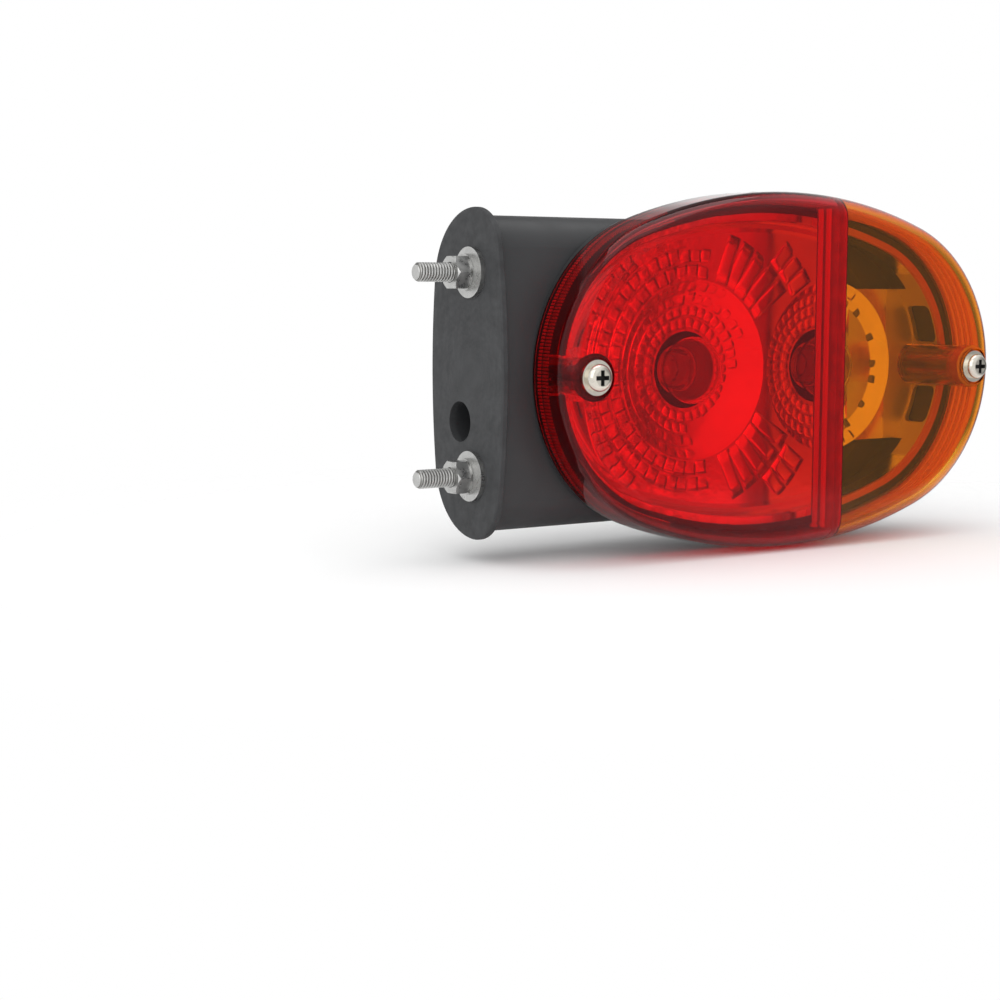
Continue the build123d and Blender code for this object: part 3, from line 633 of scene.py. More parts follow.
def thread_steel(colour):
    """Zinc on the studs, rougher and with painted shade in the roots of the thread."""
    material = bright_metal("stud_steel", colour, 0.26, 0.42, 300.0, 0.12)
    tree = material.node_tree
    x, y, z = axes(tree)
    from_axis = sum_up(tree, "SUBTRACT", sum_up(tree, "ABSOLUTE", z), node_middle("mounting_stud_upper").z)
    root = spread(tree, diagonal(tree, y, from_axis), 1.0, 0.0, *THREAD_ROOT)
    behind_tip = sum_up(tree, "GREATER_THAN", x, node_low("mounting_stud_upper")[0] + 0.2 * MM)
    # painted shade: the thread roots are coloured dark for the shade that falls in them, and are also made
    # rougher
    second_finish(material, sum_up(tree, "MULTIPLY", root, behind_tip), (0.13, 0.125, 0.115, 1), 0.55, 0.7)
    return material


def weld_plastic(colour):
    """Cloudy red where the two lens mouldings are joined."""
    material, tree, shader = new_material("seam_weld")
    tint(tree, shader, noise(tree, 220.0, 4.0), shade(colour, 0.7), shade(colour, 1.2))
    gloss(tree, shader, noise(tree, 90.0), 0.3, 0.5)
    return material


def soft_rubber(name, colour):
    """Plain matte rubber of the seal, also on the gaskets whose dark colour stands in for painted shade round
    the bulbs.
    """
    material, tree, shader = new_material(name)
    tint(tree, shader, noise(tree, 200.0, 4.0), shade(colour, 0.8), shade(colour, 1.25))
    gloss(tree, shader, noise(tree, 400.0), 0.6, 0.8)
    return material


def contact_board(colour):
    """Pressed board with a fibrous tone."""
    material, tree, shader = new_material("contact_board")
    fibres = noise(tree, 500.0, 5.0, 0.6, (1.0, 1.0, 0.25))
    tint(tree, shader, fibres, shade(colour, 0.7), shade(colour, 1.3))
    gloss(tree, shader, fibres, 0.5, 0.7)
    return material


def clear_glass():
    """Thin blown glass of the bulbs, with a trace of haze."""
    return clear_moulding("bulb_glass", (0.97, 0.97, 0.97, 1), (0.95, 0.95, 0.95, 1), (0.01, 0.03), 0.02,
                          GLASS_CLEARNESS)


def dress(name, material):
    """Gives a CAD node its material."""
    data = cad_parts[name].data
    data.materials.clear()
    data.materials.append(material)


def add_piece(name, mesh, material, smooth=True):
    """Links a finished mesh as a piece that rides on the lamp."""
    if not mesh.vertices:
        raise RuntimeError(f"{name} came out empty")
    piece = bpy.data.objects.new(name, mesh)
    bpy.context.scene.collection.objects.link(piece)
    mesh.materials.clear()
    mesh.materials.append(material)
    if smooth:
        mesh.polygons.foreach_set("use_smooth", [True] * len(mesh.polygons))
    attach(piece, "root")
    return piece


def mesh_from(name, points, faces):
    """Mesh of points and faces, with its faces turned outwards."""
    mesh = bpy.data.meshes.new(name)
    mesh.from_pydata(points, [], faces)
    mesh.validate()
    shape = bmesh.new()
    shape.from_mesh(mesh)
    bmesh.ops.recalc_face_normals(shape, faces=shape.faces)
    shape.to_mesh(mesh)
    shape.free()
    return mesh


def lathe_grid(rings, sides):
    """Faces between rows of points round a shape, with both ends closed."""
    faces = []
    for row in range(rings - 1):
        for side in range(sides):
            after = (side + 1) % sides
            faces.append((row * sides + side, row * sides + after,
                          (row + 1) * sides + after, (row + 1) * sides + side))
    faces.append(tuple(range(sides)))
    faces.append(tuple((rings - 1) * sides + side for side in range(sides)))
    return faces


def run_mesh(name, runs):
    """Closed strips, each through a row of sections with the same number of corners."""
    points, faces = [], []
    for sections in runs:
        start, corners = len(points), len(sections[0])
        for section in sections:
            points += section
        faces += [tuple(start + corner for corner in face) for face in lathe_grid(len(sections), corners)]
    return mesh_from(name, points, faces)


def ring_section(x, corners, angle):
    """Corners of radius and Y, turned about an axis along Y."""
    return [(x + radius * math.cos(angle), y, radius * math.sin(angle)) for radius, y in corners]


def ring_mesh(name, x, profile, sides):
    """Ring about an axis along Y through a closed outline of radius and Y."""
    corners = len(profile)
    points, faces = [], []
    for side in range(sides):
        points += ring_section(x, profile, 2 * math.pi * side / sides)
        after = (side + 1) % sides
        for corner in range(corners):
            ahead = (corner + 1) % corners
            faces.append((side * corners + corner, side * corners + ahead,
                          after * corners + ahead, after * corners + corner))
    return mesh_from(name, points, faces)


def outline_arcs(inset):
    """Radius and centre of the end arcs, then of the side arcs, of the lens outline moved inwards."""
    half_length = (LENS_END_X - LENS_START_X) / 2 - inset
    half_height = LENS_HALF_HEIGHT - inset
    end_radius = END_SHARE * LENS_HALF_HEIGHT - inset
    side_radius = half_length**2 + half_height**2 - 2 * half_length * end_radius
    side_radius /= 2 * (half_height - end_radius)
    return end_radius, half_length - end_radius, side_radius, side_radius - half_height


def lens_outline(inset, step):
    """Points along the lens outline, moved inwards, about one step apart, as X and Z."""
    end_radius, end_centre, side_radius, side_centre = outline_arcs(inset)
    turn = math.atan2(side_centre, end_centre)
    arcs = (
        ((end_centre, 0), end_radius, -turn, 2 * turn),
        ((0, -side_centre), side_radius, turn, math.pi - 2 * turn),
        ((-end_centre, 0), end_radius, math.pi - turn, 2 * turn),
        ((0, side_centre), side_radius, math.pi + turn, math.pi - 2 * turn),
    )
    points = []
    for (x, z), radius, start, sweep in arcs:
        count = max(2, round((radius + inset) * sweep / step))
        for index in range(count):
            angle = start + sweep * index / count
            points.append((LENS_MIDDLE_X + x + radius * math.cos(angle), z + radius * math.sin(angle)))
    return points


def outline_runs(rows, keep):
    """Sections along the lens outline through rows of inset and Y, as an upper and a lower run."""
    lines = [[(x, y, z) for x, z in lens_outline(inset, RIB_STEP)] for inset, y in rows]
    runs = [[], []]
    for section in zip(*lines):
        x, _, z = section[0]
        if keep(x, z):
            runs[0 if z > 0 else 1].append(section)

    def turn(section):
        x, _, z = section[0]
        return math.atan2(z, x - LENS_MIDDLE_X)

    return [sorted(run, key=turn) for run in runs]


def new_tree(name, inputs):
    """Geometry Nodes tree with a geometry input and named inputs. Returns it with its ends."""
    tree = bpy.data.node_groups.new(name, "GeometryNodeTree")
    tree.interface.new_socket("Geometry", in_out="INPUT", socket_type="NodeSocketGeometry")
    keys = {}
    for label, kind in inputs:
        keys[label] = tree.interface.new_socket(label, in_out="INPUT", socket_type=kind).identifier
    tree.interface.new_socket("Geometry", in_out="OUTPUT", socket_type="NodeSocketGeometry")
    start = tree.nodes.new("NodeGroupInput")
    end = tree.nodes.new("NodeGroupOutput")
    return tree, start, end, keys


def end_tree(tree, start, end, instances):
    """Closes a tree with Realize Instances and Set Material."""
    realize = tree.nodes.new("GeometryNodeRealizeInstances")
    finish = tree.nodes.new("GeometryNodeSetMaterial")
    tree.links.new(instances, realize.inputs["Geometry"])
    tree.links.new(realize.outputs["Geometry"], finish.inputs["Geometry"])
    tree.links.new(start.outputs["Material"], finish.inputs["Material"])
    tree.links.new(finish.outputs["Geometry"], end.inputs["Geometry"])


def grow(name, base, tree, keys, values):
    """Runs a tree on a base mesh and returns the result as a plain mesh."""
    carrier = bpy.data.objects.new(name + "_carrier", base)
    bpy.context.scene.collection.objects.link(carrier)
    modifier = carrier.modifiers.new("grow", "NODES")
    modifier.node_group = tree
    for label, value in values.items():
        modifier[keys[label]] = value
    bpy.context.view_layer.update()
    depsgraph = bpy.context.evaluated_depsgraph_get()
    mesh = bpy.data.meshes.new_from_object(carrier.evaluated_get(depsgraph), depsgraph=depsgraph)
    mesh.name = name
    carrier.modifiers.remove(modifier)
    bpy.data.objects.remove(carrier)
    return mesh


def thread_mesh(name, sizes, stud, shank_end):
    """Threaded stud along X from its tip to the shank's end, then a hexagon head."""
    low, high = (Vector(corner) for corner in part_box(stud))
    centre = (low + high) / 2
    points = []
    rows = math.ceil((shank_end - low.x) / sizes.pitch * sizes.rows)
    for row in range(rows + 1):
        along = row / sizes.rows * sizes.pitch
        taper = max(0.0, 1 - along / sizes.tip)
        for side in range(sizes.sides):
            turn = side / sizes.sides
            wave = (row / sizes.rows + turn) % 1.0
            ridge = min(1.0, THREAD_FLANK * abs(2 * wave - 1))
            radius = THREAD_RADIUS - sizes.depth * max(1 - ridge, TIP_DEPTH * taper)
            angle = 2 * math.pi * turn
            points.append((low.x + along, radius * math.cos(angle), centre.z + radius * math.sin(angle)))
    mesh = mesh_from(name, points, lathe_grid(rows + 1, sizes.sides))
    corner = HEAD_HALF_WIDTH / math.cos(math.pi / 6)
    head = bmesh.new()
    head.from_mesh(mesh)
    made = bmesh.ops.create_cone(head, cap_ends=True, segments=6, radius1=corner, radius2=corner,
                                 depth=high.x - shank_end)
    turn = Euler((0, math.pi / 2, 0)).to_matrix().to_4x4()
    place = Matrix.Translation(((high.x + shank_end) / 2, 0, centre.z)) @ turn
    bmesh.ops.transform(head, matrix=place, verts=made["verts"])
    head.to_mesh(mesh)
    head.free()
    return mesh


class LAMP_OT_housing(bpy.types.Operator):
    """Gives the housing, the pad and the lens seal their finishes"""

    bl_idname = "tail_light.housing"
    bl_label = "Housing and pad"

    def execute(self, context):
        finishes = context.scene.tail_light_finishes
        dress("housing", housing_plastic(finishes.housing))
        dress("mounting_pad", pad_rubber(finishes.pad))
        dress("lens_seal", soft_rubber("seal_rubber", (0.02, 0.02, 0.021, 1)))
        return {"FINISHED"}


class LAMP_OT_lens(bpy.types.Operator):
    """Gives the red and the amber lens their clear coloured finish"""

    bl_idname = "tail_light.lens"
    bl_label = "Lens"

    def execute(self, context):
        finishes = context.scene.tail_light_finishes
        for name, veil, deepens in (("red", RED_VEIL, RED_DEEPENS_Y), ("amber", AMBER_VEIL, AMBER_DEEPENS_Y)):
            material = clear_moulding(f"{name}_acrylic", getattr(finishes, name), veil, haze=(0.015, 0.035),
                                      deep=getattr(finishes, f"deep_{name}"), deepens=deepens)
            dress(f"{name}_lens", material)
        return {"FINISHED"}


class LAMP_OT_flutes(bpy.types.Operator):
    """Stands fine flutes in a row inside the side wall of the red lens"""

    bl_idname = "tail_light.flutes"
    bl_label = "Lens flutes"

    def execute(self, context):
        sizes = context.scene.tail_light_flutes
        step = 0.3 * MM
        path = [(x, z) for x, z in lens_outline(sizes.inset, step) if x < sizes.end_x]
        level = RIM_Y - sizes.foot - sizes.length / 2
        base = bpy.data.meshes.new("flute_path")
        base.from_pydata([(x, level, z) for x, z in path], [(i, i + 1) for i in range(len(path) - 1)], [])
        tree, start, end, keys = new_tree("lens_flutes", (
            ("Pitch", "NodeSocketFloat"), ("Radius", "NodeSocketFloat"), ("Length", "NodeSocketFloat"),
            ("Material", "NodeSocketMaterial")))
        curve = tree.nodes.new("GeometryNodeMeshToCurve")
        even = tree.nodes.new("GeometryNodeResampleCurve")
        even.mode = "LENGTH"
        flute = tree.nodes.new("GeometryNodeMeshCylinder")
        flute.inputs["Vertices"].default_value = 10
        place = tree.nodes.new("GeometryNodeInstanceOnPoints")
        place.inputs["Rotation"].default_value = (math.pi / 2, 0, 0)
        link = tree.links.new
        link(start.outputs["Geometry"], curve.inputs["Mesh"])
        link(curve.outputs["Curve"], even.inputs["Curve"])
        link(start.outputs["Pitch"], even.inputs["Length"])
        link(start.outputs["Radius"], flute.inputs["Radius"])
        link(start.outputs["Length"], flute.inputs["Depth"])
        link(even.outputs["Curve"], place.inputs["Points"])
        link(flute.outputs["Mesh"], place.inputs["Instance"])
        end_tree(tree, start, end, place.outputs["Instances"])
        colour = context.scene.tail_light_finishes.red
        material = clear_moulding("flute_acrylic", colour, RED_VEIL, clearness=FLUTE_CLEARNESS)
        mesh = grow("lens_flutes", base, tree, keys, {
            "Pitch": sizes.pitch, "Radius": sizes.radius, "Length": sizes.length, "Material": material})
        add_piece("lens_flutes", mesh, material, smooth=False)
        return {"FINISHED"}


def pillow_mesh():
    """Pillow of unit width, length and height, on a flat foot a little below its edge."""
    count = 5
    points = []
    for row in range(count):
        for column in range(count):
            x, y = column / (count - 1) - 0.5, row / (count - 1) - 0.5
            points.append((x, y, (1 - 4 * x * x) * (1 - 4 * y * y)))
    faces = []
    for row in range(count - 1):
        for column in range(count - 1):
            corner = row * count + column
            faces.append((corner, corner + 1, corner + count + 1, corner + count))
    last = count - 1
    edge = [(column, 0) for column in range(last)] + [(last, row) for row in range(last)]
    edge += [(column, last) for column in range(last, 0, -1)] + [(0, row) for row in range(last, 0, -1)]
    edge = [row * count + column for column, row in edge]
    foot = list(range(len(points), len(points) + len(edge)))
    points += [(points[corner][0], points[corner][1], -0.6) for corner in edge]
    for here in range(len(edge)):
        after = (here + 1) % len(edge)
        faces.append((edge[here], foot[here], foot[after], edge[after]))
    faces.append(tuple(reversed(foot)))
    return mesh_from("pillow", points, faces)


def dish_height(radius, level):
    """Y of the dish at a radius from its axis, and its slope, on the arc of the CAD dish."""
    a = Vector((DISH_RIM, level))
    b = Vector(((DISH_RIM + DISH_HOLE) / 2, level + DISH_DEPTH - DISH_SAG))
    c = Vector((DISH_HOLE, level + DISH_DEPTH))
    d = 2 * (a.x * (b.y - c.y) + b.x * (c.y - a.y) + c.x * (a.y - b.y))
    aa, bb, cc = a.length_squared, b.length_squared, c.length_squared
    ux = (aa * (b.y - c.y) + bb * (c.y - a.y) + cc * (a.y - b.y)) / d
    uy = (aa * (c.x - b.x) + bb * (a.x - c.x) + cc * (b.x - a.x)) / d
    bend = (a - Vector((ux, uy))).length
    side = 1 if b.y > uy else -1
    lift = math.sqrt(max(bend**2 - (radius - ux) ** 2, 1e-12))
    return uy + side * lift, -side * (radius - ux) / lift


def inside(outline, x, z):
    """Whether a point lies inside a closed outline."""
    hit = False
    before = outline[-1]
    for after in outline:
        if (after[1] > z) != (before[1] > z):
            cross = before[0] + (z - before[1]) / (after[1] - before[1]) * (after[0] - before[0])
            if x < cross:
                hit = not hit
        before = after
    return hit


def facet_points(axis_x, level, rings, tilt, keep):
    """Places, turns and sizes of the facets on rings round an axis."""
    chance = random.Random(FACET_SEED)
    places, turns, sizes = [], [], []
    for index, ring in enumerate(rings):
        radius = (ring.inner + ring.outer) / 2
        count = round(2 * math.pi * radius / ring.arc)
        most = tilt * min(1.0, FULL_TILT_WIDTH / (ring.outer - ring.inner))
        y, slope = dish_height(radius, level) if ring.in_dish else (level, 0.0)
        width = (ring.outer - ring.inner) * math.hypot(1, slope)
        for step in range(count):
            angle = (2 * math.pi * (step + 0.5 * (index % 2)) / count) % (2 * math.pi)
            lean = Euler((chance.uniform(-most, most), chance.uniform(-most, most), 0)).to_matrix()
            across, up = math.cos(angle), math.sin(angle)
            ends = [(axis_x + r * across, r * up) for r in (ring.inner, radius, ring.outer)]
            if not ring.first <= math.degrees(angle) <= ring.last or not all(keep(*end) for end in ends):
                continue
            out = Vector((across, slope, up)).normalized()
            along = Vector((-up, 0, across))
            normal = out.cross(along)
            if normal.y > 0:
                along, normal = -along, -normal
            front = y if ring.in_dish else y - FACET_LIFT * ring.bulge * width
            places.append((axis_x + radius * across, front, radius * up))
            turns.append(tuple((Matrix((out, along, normal)).transposed() @ lean).to_euler()))
            sizes.append((FACET_FILL * width, ring.fill * 2 * math.pi * radius / count, ring.bulge * width))
    return places, turns, sizes


def facet_piece(name, data, material):
    """Sets a pillow on each place with Geometry Nodes."""
    places, turns, sizes = data
    base = bpy.data.meshes.new(name + "_points")
    base.from_pydata(places, [], [])
    for label, rows in (("facet_turn", turns), ("facet_size", sizes)):
        layer = base.attributes.new(label, "FLOAT_VECTOR", "POINT")
        layer.data.foreach_set("vector", [v for row in rows for v in row])
    pillow = bpy.data.objects.new("pillow", pillow_mesh())
    bpy.context.scene.collection.objects.link(pillow)
    tree, start, end, keys = new_tree(name, (
        ("Pillow", "NodeSocketObject"), ("Material", "NodeSocketMaterial")))
    info = tree.nodes.new("GeometryNodeObjectInfo")
    turn = tree.nodes.new("GeometryNodeInputNamedAttribute")
    size = tree.nodes.new("GeometryNodeInputNamedAttribute")
    for node, label in ((turn, "facet_turn"), (size, "facet_size")):
        node.data_type = "FLOAT_VECTOR"
        node.inputs["Name"].default_value = label
    rotation = tree.nodes.new("FunctionNodeEulerToRotation")
    points = tree.nodes.new("GeometryNodeMeshToPoints")
    place = tree.nodes.new("GeometryNodeInstanceOnPoints")
    link = tree.links.new
    link(start.outputs["Geometry"], points.inputs["Mesh"])
    link(start.outputs["Pillow"], info.inputs["Object"])
    link(points.outputs["Points"], place.inputs["Points"])
    link(info.outputs["Geometry"], place.inputs["Instance"])
    link(turn.outputs["Attribute"], rotation.inputs["Euler"])
    link(rotation.outputs["Rotation"], place.inputs["Rotation"])
    link(size.outputs["Attribute"], place.inputs["Scale"])
    end_tree(tree, start, end, place.outputs["Instances"])
    mesh = grow(name, base, tree, keys, {"Pillow": pillow, "Material": material})
    bpy.data.objects.remove(pillow)
    return add_piece(name, mesh, material)


class LAMP_OT_reflector(bpy.types.Operator):
    """Metallises the reflector and lays rings of pillow facets round both bulbs"""

    bl_idname = "tail_light.reflector"
    bl_label = "Reflector"

    def execute(self, context):
        sizes = context.scene.tail_light_facets
        film = reflector_film(context.scene.tail_light_finishes.metallised)
        # painted shade: the indicator dots get a dark film that stands in for the shade that they show
        dot_shade_film = bright_metal("dull_film", (0.2, 0.19, 0.18, 1), 0.3, 0.5, 200.0, 0.1)
        dress("reflector", film)
        first_x, second_x = (node_middle(f"{lamp}_bulb_holder").x for lamp in LAMPS)
        on_plate = self.plate_test(first_x, second_x, sizes.border)
        rings, ridges = self.tail_stop_rings(sizes)
        steps = run_mesh("reflector_ridges", self.ridge_runs(first_x, ridges, sizes.ridge, on_plate))
        add_piece("reflector_ridges", steps, film, smooth=False)
        facets = facet_points(first_x, REFLECTOR_LEVEL, rings, sizes.tilt, on_plate)
        facet_piece("tail_stop_facets", facets, film)
        for name, rows, tilt, material in (
            ("indicator_facets", self.indicator_rings(sizes), sizes.tilt, film),
            ("indicator_dots", self.dot_rings(sizes), 2 * sizes.tilt, dot_shade_film),
        ):
            facets = facet_points(second_x, INDICATOR_LEVEL, rows, tilt, lambda x, z: True)
            facet_piece(name, facets, material)
        return {"FINISHED"}

    def plate_test(self, first_x, second_x, border):
        """Test for places in the first dish or on the plate, clear of edges, screw and second dish."""
        outline = lens_outline(WALL_INSET + border, 1.0 * MM)
        screw_x = node_middle("lens_screw_inner").x
        screw_room = 8 * MM
        margin = 1.0 * MM
        dish_gap = 1.6 * MM
        ramp_end_x, ramp_half = LENS_START_X + 22.5 * MM, 36 * MM

        def on_plate(x, z):
            if math.hypot(x - first_x, z) < DISH_RIM + LIFT:
                return True
            if math.hypot(x - second_x, z) < DISH_RIM + margin + dish_gap or x > PLATE_END_X - margin:
                return False
            if x < ramp_end_x and abs(z) < ramp_half:
                return False
            return math.hypot(x - screw_x, z) > screw_room and inside(outline, x, z)

        return on_plate

    def dish_edges(self):
        """Radii between the four rings of a dish."""
        start = DISH_HOLE + DISH_MARGIN
        ring = (DISH_RIM - DISH_HOLE - DISH_MARGIN) / 4
        return [start + ring * index for index in range(5)]

    def dish_facets(self, sizes):
        """Small facets next to a bulb and broad ones outside them."""
        return (sizes.dash_arc, sizes.dash_bulge, True), (sizes.dish_arc, sizes.dish_bulge, True)

    def tail_stop_rings(self, sizes):
        """Rings of facets round the first bulb, and the radii of the fine ridges between them."""
        edges = self.dish_edges()
        dash, broad = self.dish_facets(sizes)
        rings = [Ring(inner, outer, *kind, *sector) for inner, outer, kind, sector in
                 zip(edges, edges[1:], (dash, dash, broad, broad), TAIL_STOP_SECTORS)]
        edge = DISH_RIM
        ridges = [(edges[2], True), (edges[3], True), (edge - 0.2 * MM, True)]
        while edge < PLATE_REACH:
            rings.append(Ring(edge + sizes.ridge / 2, edge + sizes.plate_ring - sizes.ridge / 2,
                              sizes.plate_arc, sizes.plate_bulge, False, *PLATE_SECTOR))
            edge += sizes.plate_ring
            ridges.append((edge, False))
        start = DISH_RIM + DISH_MARGIN
        end = start + sizes.strip_length
        fan = (start, end, sizes.strip_width, sizes.strip_bulge, False)
        outer_fan = (end + DISH_MARGIN, end + OUTER_FAN_END, sizes.strip_width,
                     OUTER_FAN_BULGE * sizes.strip_bulge, False)
        rings += [Ring(*part, *sector) for part in (fan, outer_fan) for sector in FAN_SECTORS]
        return rings, ridges

    def indicator_rings(self, sizes):
        """Rings of facets in the dish of the indicator."""
        edges = self.dish_edges()
        dash, broad = self.dish_facets(sizes)
        return [Ring(inner, outer, *kind, *INDICATOR_SECTOR) for inner, outer, kind in
                zip(edges, edges[1:], (dash, dash, dash, broad))]

    def dot_rings(self, sizes):
        """Two rows of dots on the outer side of the indicator's dish."""
        edges = self.dish_edges()
        dots = (3 * sizes.dash_arc, sizes.dash_bulge, True)
        rows = ((edges[1], edges[2]), (edges[2] + 1 * MM, edges[3]))
        return [Ring(*row, *dots, *sector, DOT_FILL) for row in rows for sector in DOT_SECTORS]

    def ridge_runs(self, axis_x, ridges, width, keep):
        """Fine ridges between the rings on the side away from the partition."""
        runs = []
        for radius, in_dish in ridges:
            y = dish_height(radius, REFLECTOR_LEVEL)[0] if in_dish else REFLECTOR_LEVEL
            foot, top = y + 0.06 * MM, y - 0.35 * width
            corners = ((radius - width / 2, foot), (radius, top), (radius + width / 2, foot))
            run = []
            for degrees in RIDGE_DEGREES:
                angle = math.radians(degrees)
                if keep(axis_x + (radius + width) * math.cos(angle), (radius + width) * math.sin(angle)):
                    run.append(ring_section(axis_x, corners, angle))
                elif run:
                    runs.append(run)
                    run = []
            runs.append(run)
        return [run for run in runs if len(run) > 2]


class LAMP_OT_reflector_edge(bpy.types.Operator):
    """Stands the bright cove and the two end ramps along the edge of the reflector"""

    bl_idname = "tail_light.reflector_edge"
    bl_label = "Reflector edge"

    def execute(self, context):
        sizes = context.scene.tail_light_edge
        material = bpy.data.materials["metallised"]
        cove = run_mesh("reflector_cove", self.cove_runs(sizes))
        add_piece("reflector_cove", cove, material, smooth=False)
        ramps = run_mesh("reflector_ramps", self.ramp_runs(sizes))
        add_piece("reflector_ramps", ramps, material, smooth=False)
        return {"FINISHED"}

    def cove_runs(self, sizes):
        """Hollow slope from the side wall down to the plate, open at the screw."""
        foot = REFLECTOR_LEVEL + SINK
        depth = REFLECTOR_LEVEL - LIFT - sizes.cove_front
        crest = 0.3 * MM
        rows = [(WALL_INSET - SINK, foot), (WALL_INSET - SINK, sizes.cove_front)]
        for turn in (0.0, 0.25, 0.5, 0.75, 1.0):
            angle = turn * math.pi / 2
            rows.append((WALL_INSET + crest + sizes.cove_width * (1 - math.cos(angle)),
                         sizes.cove_front + depth * math.sin(angle)))
        rows.append((rows[-1][0], foot))
        screw_x = node_middle("lens_screw_inner").x

        def keep(x, z):
            return x < sizes.cove_end and math.hypot(x - screw_x, z) > sizes.screw_gap

        return outline_runs(rows, keep)

    def ramp_runs(self, sizes):
        """Slopes that face out at the inner end, widest at the screw and tapered to a point."""
        foot = REFLECTOR_LEVEL + SINK
        radius = END_SHARE * LENS_HALF_HEIGHT - sizes.ramp_inset
        centre_x = LENS_START_X + END_SHARE * LENS_HALF_HEIGHT
        steps = 24
        least_width, back_slope, taper = 0.25 * MM, 0.6 * MM, 1.6
        runs = []
        for side in (1, -1):
            sections = []
            for step in range(steps + 1):
                share = step / steps
                z = sizes.screw_gap + (sizes.ramp_reach - sizes.screw_gap) * share
                width = max(least_width, sizes.ramp_width * (1 - share**taper))
                front = REFLECTOR_LEVEL + (sizes.ramp_front - REFLECTOR_LEVEL) * width / sizes.ramp_width
                x = centre_x - math.sqrt(radius**2 - z**2)
                corners = ((x, foot), (x, REFLECTOR_LEVEL - LIFT), (x + 0.8 * width, front),
                           (x + width, front), (x + width + back_slope, foot))
                sections.append([(along, y, side * z) for along, y in corners])
            runs.append(sections)
        return runs


class LAMP_OT_lens_ribs(bpy.types.Operator):
    """Adds the ribs, bars, collars, sleeve and weld inside the lens"""

    bl_idname = "tail_light.lens_ribs"
    bl_label = "Lens ribs"

    def execute(self, context):
        sizes = context.scene.tail_light_ribs
        finishes = context.scene.tail_light_finishes
        deep = shade(finishes.deep_red, 1.2)
        amber = bpy.data.materials["amber_acrylic"]
        flute = bpy.data.materials["flute_acrylic"]
        red = clear_moulding("deep_red_acrylic", deep, DEEP_RED_VEIL)
        post = clear_moulding("post_acrylic", finishes.amber, AMBER_VEIL)
        ribs = run_mesh("amber_wall_ribs", self.rib_runs(sizes))
        add_piece("amber_wall_ribs", ribs, amber, smooth=False)
        bars = run_mesh("partition_ribs", self.partition_runs(sizes))
        add_piece("partition_ribs", bars, flute, smooth=False)
        profile = [(radius * MM, y * MM) for radius, y in COLLAR_MM]
        for side, material, slot in zip(SCREWS, (red, amber), ("red_acrylic", "amber_acrylic")):
            collar = ring_mesh(f"post_collar_{side}", node_middle(f"lens_screw_{side}").x, profile, 48)
            add_piece(f"post_collar_{side}", collar, material)
        sleeve = run_mesh("post_sleeve_outer", [self.sleeve_sections()])
        add_piece("post_sleeve_outer", sleeve, post, smooth=False)
        weld = run_mesh("seam_weld", [self.weld_sections()])
        add_piece("seam_weld", weld, weld_plastic(deep), smooth=False)
        return {"FINISHED"}

    def rib_runs(self, sizes):
        """Ribs round the amber side wall, open at its outer end."""

        def keep(x, z):
            return x > SEAM_X + 1 * MM and (x < RIB_BREAK_X or abs(z) > RIB_BREAK_HALF)

        top = sizes.inset + sizes.proud
        bevel = 0.2 * sizes.width
        runs = []
        for index in range(sizes.count):
            front = RIM_Y - sizes.first - index * sizes.pitch
            back = front + sizes.width
            rows = ((sizes.inset, back), (sizes.inset, front), (top, front + bevel), (top, back - bevel))
            runs += outline_runs(rows, keep)
        return runs

    def sleeve_sections(self):
        """Half tube on the side of the outer post that faces the bulb."""
        x = node_middle("lens_screw_outer").x
        corners = [(radius * MM, y * MM) for radius, y in SLEEVE_MM]
        return [ring_section(x, corners, math.radians(degrees)) for degrees in SLEEVE_DEGREES]

    def weld_sections(self):
        """Thin web inside the partition, shaped to the lens section at the seam."""
        near, far = WELD_SIDES
        rows = [(-z, y) for z, y in reversed(WELD_MM)] + list(WELD_MM)
        sections = []
        for z, y in rows:
            corners = ((near, y * MM), (far, y * MM), (far, WELD_BACK), (near, WELD_BACK))
            sections.append([(x, level, z * MM) for x, level in corners])
        return sections

    def partition_runs(self, sizes):
        """Upright bars on the face of the partition, with their edges taken off."""
        foot, top = PARTITION_X + SINK, PARTITION_X - sizes.bar_proud
        bevel = 0.3 * sizes.bar_width
        end = 0.4 * MM
        runs = []
        for front, half in PARTITION_BARS:
            back = front + sizes.bar_width
            section = ((foot, back), (foot, front), (top, front + bevel), (top, back - bevel))
            heights = (-half, -half + end, -0.5 * half, 0, 0.5 * half, half - end, half)
            runs.append([[(x, y, z) for x, y in section] for z in heights])
        return runs


class LAMP_OT_bulbs(bpy.types.Operator):
    """Gives bulbs, holders and contacts their finishes"""

    bl_idname = "tail_light.bulbs"
    bl_label = "Bulbs"

    def execute(self, context):
        brass = bright_metal("brass", context.scene.tail_light_finishes.brass, 0.25, 0.42, 120.0, 0.05)
        board = contact_board((0.3, 0.16, 0.07, 1))
        glass = clear_glass()
        for lamp in LAMPS:
            dress(f"{lamp}_bulb_glass", glass)
            dress(f"{lamp}_contact_disc", board)
            for part in ("bulb_cap", "bulb_holder", "contact_blade"):
                dress(f"{lamp}_{part}", brass)
            # painted shade: a dark rubber ring fills the gap round each bulb, for the shade in that gap
            shade_gasket = self.shade_gasket_mesh(f"{lamp}_holder_gasket", f"{lamp}_bulb_holder")
            add_piece(f"{lamp}_holder_gasket", shade_gasket, bpy.data.materials["seal_rubber"])
        dress("earth_strip", brass)
        for side in SCREWS:
            dress(f"screw_insert_{side}", brass)
        return {"FINISHED"}

    def shade_gasket_mesh(self, name, holder):
        """Flat black rubber ring in front of a bulb holder, with its front edges taken off. It fills the gap
        round the bulb, where its dark colour stands in for painted shade.
        """
        low = node_low(holder)[1]
        foot, shoulder, front = low - SHADE_GASKET_SLACK, low - 0.6 * MM, low - 0.9 * MM
        inner, outer = SHADE_GASKET_HOLE, DISH_HOLE - SHADE_GASKET_SLACK
        bevel = 0.3 * MM
        profile = ((inner, foot), (inner, shoulder), (inner + bevel, front),
                   (outer - bevel, front), (outer, shoulder), (outer, foot))
        return ring_mesh(name, node_middle(holder).x, profile, 64)


